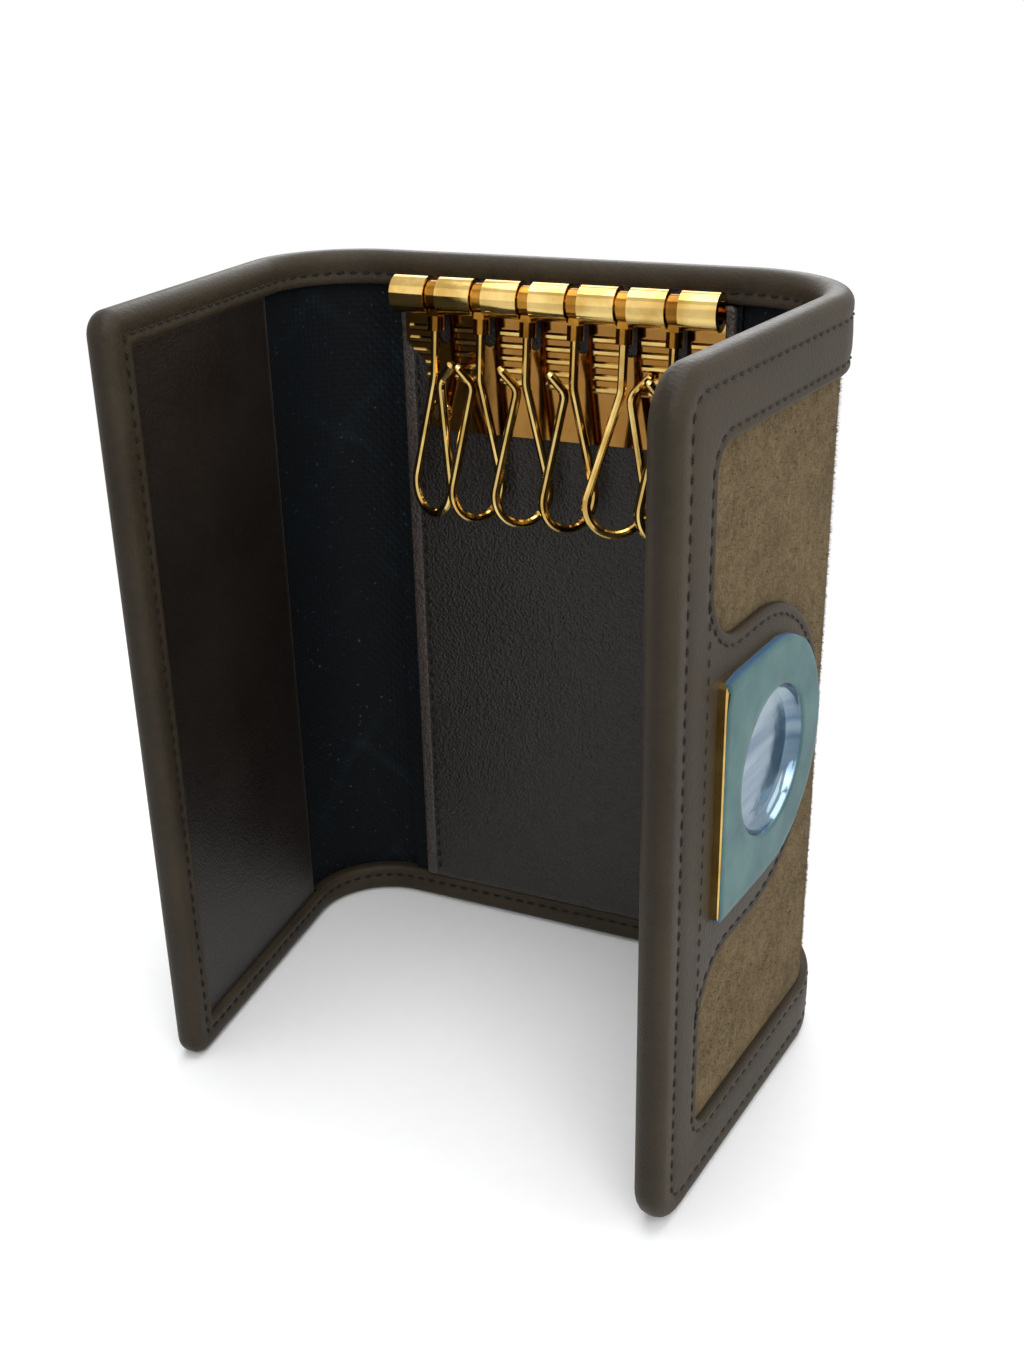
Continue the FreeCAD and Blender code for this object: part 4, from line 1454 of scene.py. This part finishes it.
@dataclass
class RightFlap:
    """Right flap: leather frame, suede window, tongue and film."""

    finishes: Finishes
    window_end: float = 34.1
    tongue_centre: tuple[float, float] = (20.5, 53.0)
    tongue_radius: float = 20.2
    tongue_fillet: float = 7.5
    bare_side: float = 0.4
    bare_end: float = 0.3
    fibres: int = 12000
    panel_back: float = -0.3
    panel_edge: float = 0.5
    panel_corner: float = 1.6
    root_end: float = 1.0
    root_dip: float = 0.06
    film_sides: int = 144
    film_bend: float = 0.34
    film_short: float = 0.16
    film_low: float = 0.08
    curl: float = 0.5
    curl_reach: float = 5.0

    film_waves = ((0.05, 9, 0.0), (0.04, 17, 1.0))
    film_wall = ((-0.06, 2.25), (-0.07, 2.6), (-0.06, 3.0), (0.1, 3.24))
    film_dish = (
        (0.995, 0.05), (0.987, 0.2), (0.98, 0.5), (0.968, 0.9), (0.945, 1.25), (0.905, 1.54),
        (0.84, 1.74), (0.74, 1.86), (0.58, 1.92), (0.35, 1.95), (0.1, 1.96),
    )

    @property
    def start(self) -> float:
        """Place along the case where the flap begins."""
        return CASE.flap_start(Side.RIGHT)

    @property
    def tongue_rise(self) -> float:
        """Height from the tongue's centre to the ends of its root."""
        return self.tongue_radius + self.tongue_fillet

    def build(self) -> None:
        """Make every piece of the flap."""
        self.leather()
        self.suede()
        self.inner_panel()
        self.film()
        self.thread()

    def place(self, reach: float, outward: float, up: float) -> tuple[float, float, float]:
        """Unrolled place on this flap."""
        return self.start + reach, outward, up

    def window(self, outset: float) -> list[tuple[float, float]]:
        """Edge of the suede window and round the tongue, moved into the leather.

        Args:
            outset: distance from the edge into the leather.

        Returns:
            Places (reach, height) from the lower spine side round to the upper one.
        """
        radius = SIZES.window_corner
        base, top = SIZES.both(SIZES.strip)
        turn = self.window_end - radius
        neck = self.window_end - self.tongue_fillet
        fillet = self.tongue_fillet + outset
        middle = self.tongue_centre[1]
        out = [(reach, base - outset) for reach in steps(0.0, turn, 12)[:-1]]
        out += arc_places((turn, base + radius), radius + outset, -90, 0, 8)
        out += arc_places((neck, middle - self.tongue_rise), fillet, 0, 90, 14)
        out += arc_places(self.tongue_centre, self.tongue_radius - outset, 270, 90, 48)
        out += arc_places((neck, middle + self.tongue_rise), fillet, -90, 0, 14)
        out += arc_places((turn, top - radius), radius + outset, 0, 90, 8)
        return out + [(reach, top + outset) for reach in steps(turn, 0.0, 12)[1:]]

    def leather(self) -> None:
        """Frame with the tongue, rim and inner band, in one piece."""
        builder = SheetBuilder()
        profile = plain_profile(SIZES.panel_level + SIZES.overlap, SIZES.puff)
        outer = builder.grid(FlapOutline(Side.RIGHT).rows(profile))[0]
        rows = [
            [self.place(reach, level, up) for reach, up in self.window(outset)]
            for outset, level in window_edge()
        ]
        self.fill_round_pan(builder, builder.grid(rows)[-1], outer)
        made = builder.piece("right_flap_leather", self.finishes.outer)
        solids = ("right_flap_cover", "right_flap_board", "clasp_patch")
        place_piece(made, "right_flap", "outer_leather", *solids)

    def fill_round_pan(self, builder: SheetBuilder, ring: list, outer: list) -> None:
        """Flat face of frame and tongue, in two halves round the hole that the plate's pan goes through.

        Args:
            builder: collects the surfaces.
            ring: vertices round the window and tongue.
            outer: vertices where the rim begins.
        """
        level = SIZES.face + SIZES.puff
        circle = ring_places(PLATE.centre, PLATE.pan_hole, 48, 180.0)
        hole = [builder.vertex(self.place(reach, level, up)) for reach, up in circle]
        apex, middle, half = len(ring) // 2, len(outer) // 2, len(hole) // 2
        builder.fill(ring[:apex + 1] + hole[:half + 1] + outer[:middle + 1][::-1])
        builder.fill(ring[apex:] + outer[middle:][::-1] + hole[half:] + hole[:1])

    def suede(self) -> None:
        """Suede in the window, with its nap."""
        builder = SheetBuilder()
        stations = [self.start + reach for reach in steps(0.0, self.window_end + SIZES.tuck, 18)]
        builder.sheet(stations, SIZES.suede_heights(SIZES.tuck, 40), SIZES.suede_level)
        made = builder.piece("right_flap_suede_sheet", self.finishes.suede)
        place_piece(made, "right_flap", "suede", "right_flap_suede")
        low = (self.start, SIZES.strip + self.bare_end)
        high = (self.start + self.window_end - self.bare_side, SIZES.height - SIZES.strip - self.bare_end)
        nap = Nap(13).cover(low, high, self.fibres)
        place_piece(nap.piece("right_flap_nap", self.finishes.suede), "right_flap", "suede")

    def inner_panel(self) -> None:
        """Leather inside the flap, with a hole for the socket."""
        builder = SheetBuilder()
        inset = SIZES.band - SIZES.panel_tuck
        low = (self.start + SIZES.panel_start, inset)
        high = (self.start + SIZES.right.flap - inset - SIZES.frame_extra, SIZES.height - inset)
        hole = (self.start + PLATE.centre[0], PLATE.centre[1], PLATE.socket_hole)
        PanelShape(
            low, high, SIZES.panel_level, self.panel_back, self.panel_edge, self.panel_corner, hole
        ).build(builder)
        made = builder.piece("right_inner_leather", self.finishes.inner)
        place_piece(made, "right_flap", "inner_leather", "right_inner_panel")

    def film_edge(self, turn: float) -> tuple[float, bool]:
        """Edge of the plate as the film covers it.

        Args:
            turn: angle round the plate's centre, in radians.

        Returns:
            Distance of the edge from the centre, and if it is the straight edge.
        """
        across, rise = math.cos(turn), abs(math.sin(turn))
        if across <= 0:
            waves = (height * math.sin(count * turn + shift) for height, count, shift in self.film_waves)
            return sum(waves, PLATE.radius), False
        straight = PLATE.straight / max(across, 1e-6)
        side = PLATE.radius / max(rise, 1e-6)
        return min(straight, side), straight < side

    def film_row(self, inset: float, level: float, share: float = 0.0) -> list[tuple]:
        """One ring of the film, which curls up a little at the plate's upper free corner.

        Args:
            inset: how far the ring lies inside the plate's edge.
            level: outward place of the ring.
            share: how far the ring has come from the edge to the dish.

        Returns:
            Unrolled places of the ring.
        """
        centre_u, centre_z = PLATE.centre
        corner = (centre_u + PLATE.straight, centre_z + PLATE.radius)
        row = []
        for index in range(self.film_sides):
            turn = 2 * math.pi * index / self.film_sides
            edge, straight = self.film_edge(turn)
            inside, height = inset, level
            if straight:
                inside, height = max(inset, self.film_short), max(level, PLATE.top - self.film_low)
            distance = (edge - inside) * (1.0 - share) + PLATE.dish_radius * share
            reach = centre_u + distance * math.cos(turn)
            up = centre_z + distance * math.sin(turn)
            near = max(0.0, 1.0 - math.dist((reach, up), corner) / self.curl_reach)
            row.append(self.place(reach, height + self.curl * near * near, up))
        return row

    def film(self) -> None:
        """Protective film over the plate, down its round side and into its dish."""
        builder = SheetBuilder()
        top = PLATE.top + PLATE.film
        rows = [self.film_row(inset, level) for inset, level in self.film_wall]
        rows += [self.film_row(self.film_bend, top, share) for share in steps(0, 1, 8)]
        for scale, depth in self.film_dish:
            ring = ring_places(PLATE.centre, PLATE.dish_radius * scale, self.film_sides)
            rows.append([self.place(reach, top - depth, up) for reach, up in ring])
        builder.fill(builder.grid(rows, close=True)[-1])
        made = builder.piece("clasp_film_sheet", self.finishes.film)
        place_piece(made, "right_flap", "film", "clasp_film")

    def thread(self) -> None:
        """Stitches round the flap, round the window and tongue, and along the tongue's root."""
        run = StitchRun(41).both_faces(FlapOutline(Side.RIGHT).path(SIZES.stitch))
        seam = SIZES.strip - SIZES.window_stitch
        run.outside([(self.start + reach, up) for reach, up in self.window(seam)])
        root = self.start + self.window_end + seam
        low = self.tongue_centre[1] - self.tongue_rise + self.root_end
        high = self.tongue_centre[1] + self.tongue_rise - self.root_end
        run.along([(root, low), (root, high)], SIZES.face + SIZES.puff - self.root_dip, 1.0)
        place_piece(run.piece("right_flap_thread", self.finishes.thread), "right_flap", "outer_leather")


@dataclass
class Hardware:
    """Metal solids of the case, shown as they are: gold, with darker brownish gold as a painted reflection on
    the rail's flat and as painted shade on the collars.
    """

    frame: dict
    finishes: Finishes

    golden = (
        "hinge_rod", "rail_rivet_left", "rail_rivet_right", "snap_stud", "stud_rivet",
        "clasp_plate", "snap_socket",
    )
    hooks = range(1, 7)

    def build(self) -> None:
        """Give every metal node its finish."""
        for name in (*self.golden, *(f"hook_{number}" for number in self.hooks)):
            self.plate(name, self.finishes.gold)
        self.plate("hook_rail", self.finishes.rail)
        for number in self.hooks:
            self.plate(f"collar_{number}", self.finishes.shade)

    def plate(self, name: str, finish: bpy.types.Material) -> None:
        """Give one node its finish.

        Args:
            name: name of the node.
            finish: its new material.
        """
        node = self.frame["nodes"][name]
        node.data.materials.clear()
        node.data.materials.append(finish)
        log.info("%s: %d faces", name, len(node.data.polygons))


@dataclass(frozen=True)
class LightSetup:
    """One soft white area light."""

    name: str
    place: tuple
    target: tuple
    size: float
    power: float

    def build(self) -> None:
        """Add the light to the scene."""
        data = bpy.data.lights.new(self.name, "AREA")
        data.shape = "SQUARE"
        data.size = self.size
        data.energy = self.power
        made = bpy.data.objects.new(self.name, data)
        made.location = self.place
        aim = Vector(self.target) - Vector(self.place)
        made.rotation_mode = "QUATERNION"
        made.rotation_quaternion = aim.to_track_quat("-Z", "Y")
        bpy.context.scene.collection.objects.link(made)


@dataclass
class Studio:
    """Camera, floor, lights and surroundings, in metres and degrees."""

    camera_place: tuple[float, float, float] = (0.08248, -0.19538, 0.13687)
    sensor: float = 36.0
    clip: tuple[float, float] = (0.005, 20.0)
    turn: float = 24.949
    pitch: float = 23.974
    roll: float = -1.208
    lens: float = 40.46
    floor_radius: float = 6.0
    fade: tuple[float, float] = (0.06, 0.22)

    lights = (
        LightSetup("key", (0.30, -0.50, 0.55), (0.0, -0.02, 0.05), 0.50, 2.7),
        LightSetup("fill", (-0.45, -0.55, 0.40), (0.0, -0.02, 0.05), 0.60, 0.5),
        LightSetup("top", (0.0, 0.05, 0.70), (0.0, 0.0, 0.05), 0.60, 3.6),
        LightSetup("side", (0.60, 0.10, 0.30), (0.03, -0.02, 0.05), 0.40, 0.9),
        LightSetup("rear", (-0.20, 0.60, 0.42), (0.0, 0.0, 0.05), 0.50, 1.6),
    )
    white = (1.0, 1.0, 1.0, 1.0)

    def build(self) -> None:
        """Set up the whole studio."""
        self.camera()
        self.floor()
        self.world()
        for light in self.lights:
            light.build()
        bpy.context.scene.view_settings.view_transform = "Standard"

    def camera(self) -> None:
        """Camera where the photograph was taken from."""
        turn, pitch, roll = (math.radians(value) for value in (self.turn, self.pitch, self.roll))
        level = math.cos(pitch)
        ahead = Vector((-math.sin(turn) * level, math.cos(turn) * level, -math.sin(pitch)))
        right = Vector((math.cos(turn), math.sin(turn), 0.0))
        up = right.cross(ahead)
        rolled_right = right * math.cos(roll) + up * math.sin(roll)
        rolled_up = up * math.cos(roll) - right * math.sin(roll)
        data = bpy.data.cameras.new("camera")
        data.sensor_width = self.sensor
        data.lens = self.lens
        data.clip_start, data.clip_end = self.clip
        made = bpy.data.objects.new("camera", data)
        axes = Matrix((rolled_right, rolled_up, -ahead)).transposed().to_4x4()
        made.matrix_world = Matrix.Translation(self.camera_place) @ axes
        bpy.context.scene.collection.objects.link(made)
        bpy.context.scene.camera = made

    def floor(self) -> None:
        """Pale floor that fades to plain white away from the case."""
        shader = Shader("floor")
        reach = shader.node("ShaderNodeVectorMath", {0: shader.local()}, "Value", operation="LENGTH")
        far = reach.spread(*self.fade)
        glow = shader.node("ShaderNodeEmission", {"Color": self.white, "Strength": 1.0})
        grain = shader.noise(shader.local(), 300.0)
        shader.set(Base_Color=shader.mix(grain, (0.9, 0.9, 0.9), (0.93, 0.93, 0.93)), Roughness=0.9)
        lit = Sock(shader, shader.surface.outputs[0])
        shader.finish(shader.node("ShaderNodeMixShader", {0: far * shader.seen(), 1: lit, 2: glow}))
        builder = bmesh.new()
        bmesh.ops.create_circle(builder, cap_ends=True, segments=96, radius=self.floor_radius)
        data = bpy.data.meshes.new("floor")
        builder.to_mesh(data)
        builder.free()
        data.materials.append(shader.material)
        made = bpy.data.objects.new("floor", data)
        bpy.context.scene.collection.objects.link(made)

    def world(self) -> None:
        """White where it is seen, a soft room that is darker below for the light it gives."""
        world = bpy.data.worlds.new("studio")
        bpy.context.scene.world = world
        shader = Shader("studio", world)
        height = shader.parts(shader.node("ShaderNodeTexCoord", output="Generated"))[2]
        glow = shader.mix(height.spread(-0.3, 0.5), (0.12, 0.11, 0.1), (0.44, 0.45, 0.46))
        room = shader.node("ShaderNodeBackground", [glow, 1.0])
        white = shader.node("ShaderNodeBackground", [self.white, 1.0])
        shader.finish(shader.node("ShaderNodeMixShader", [shader.seen(), room, white]))


def main() -> None:
    """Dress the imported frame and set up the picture."""
    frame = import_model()
    finishes = Finishes()
    Studio().build()
    Back(finishes).build()
    Spine(Side.LEFT, finishes, floor=-0.1).build()
    Spine(Side.RIGHT, finishes, floor=-0.3).build()
    LeftFlap(finishes).build()
    RightFlap(finishes).build()
    Hardware(frame, finishes).build()


if __name__ == "__main__":
    main()
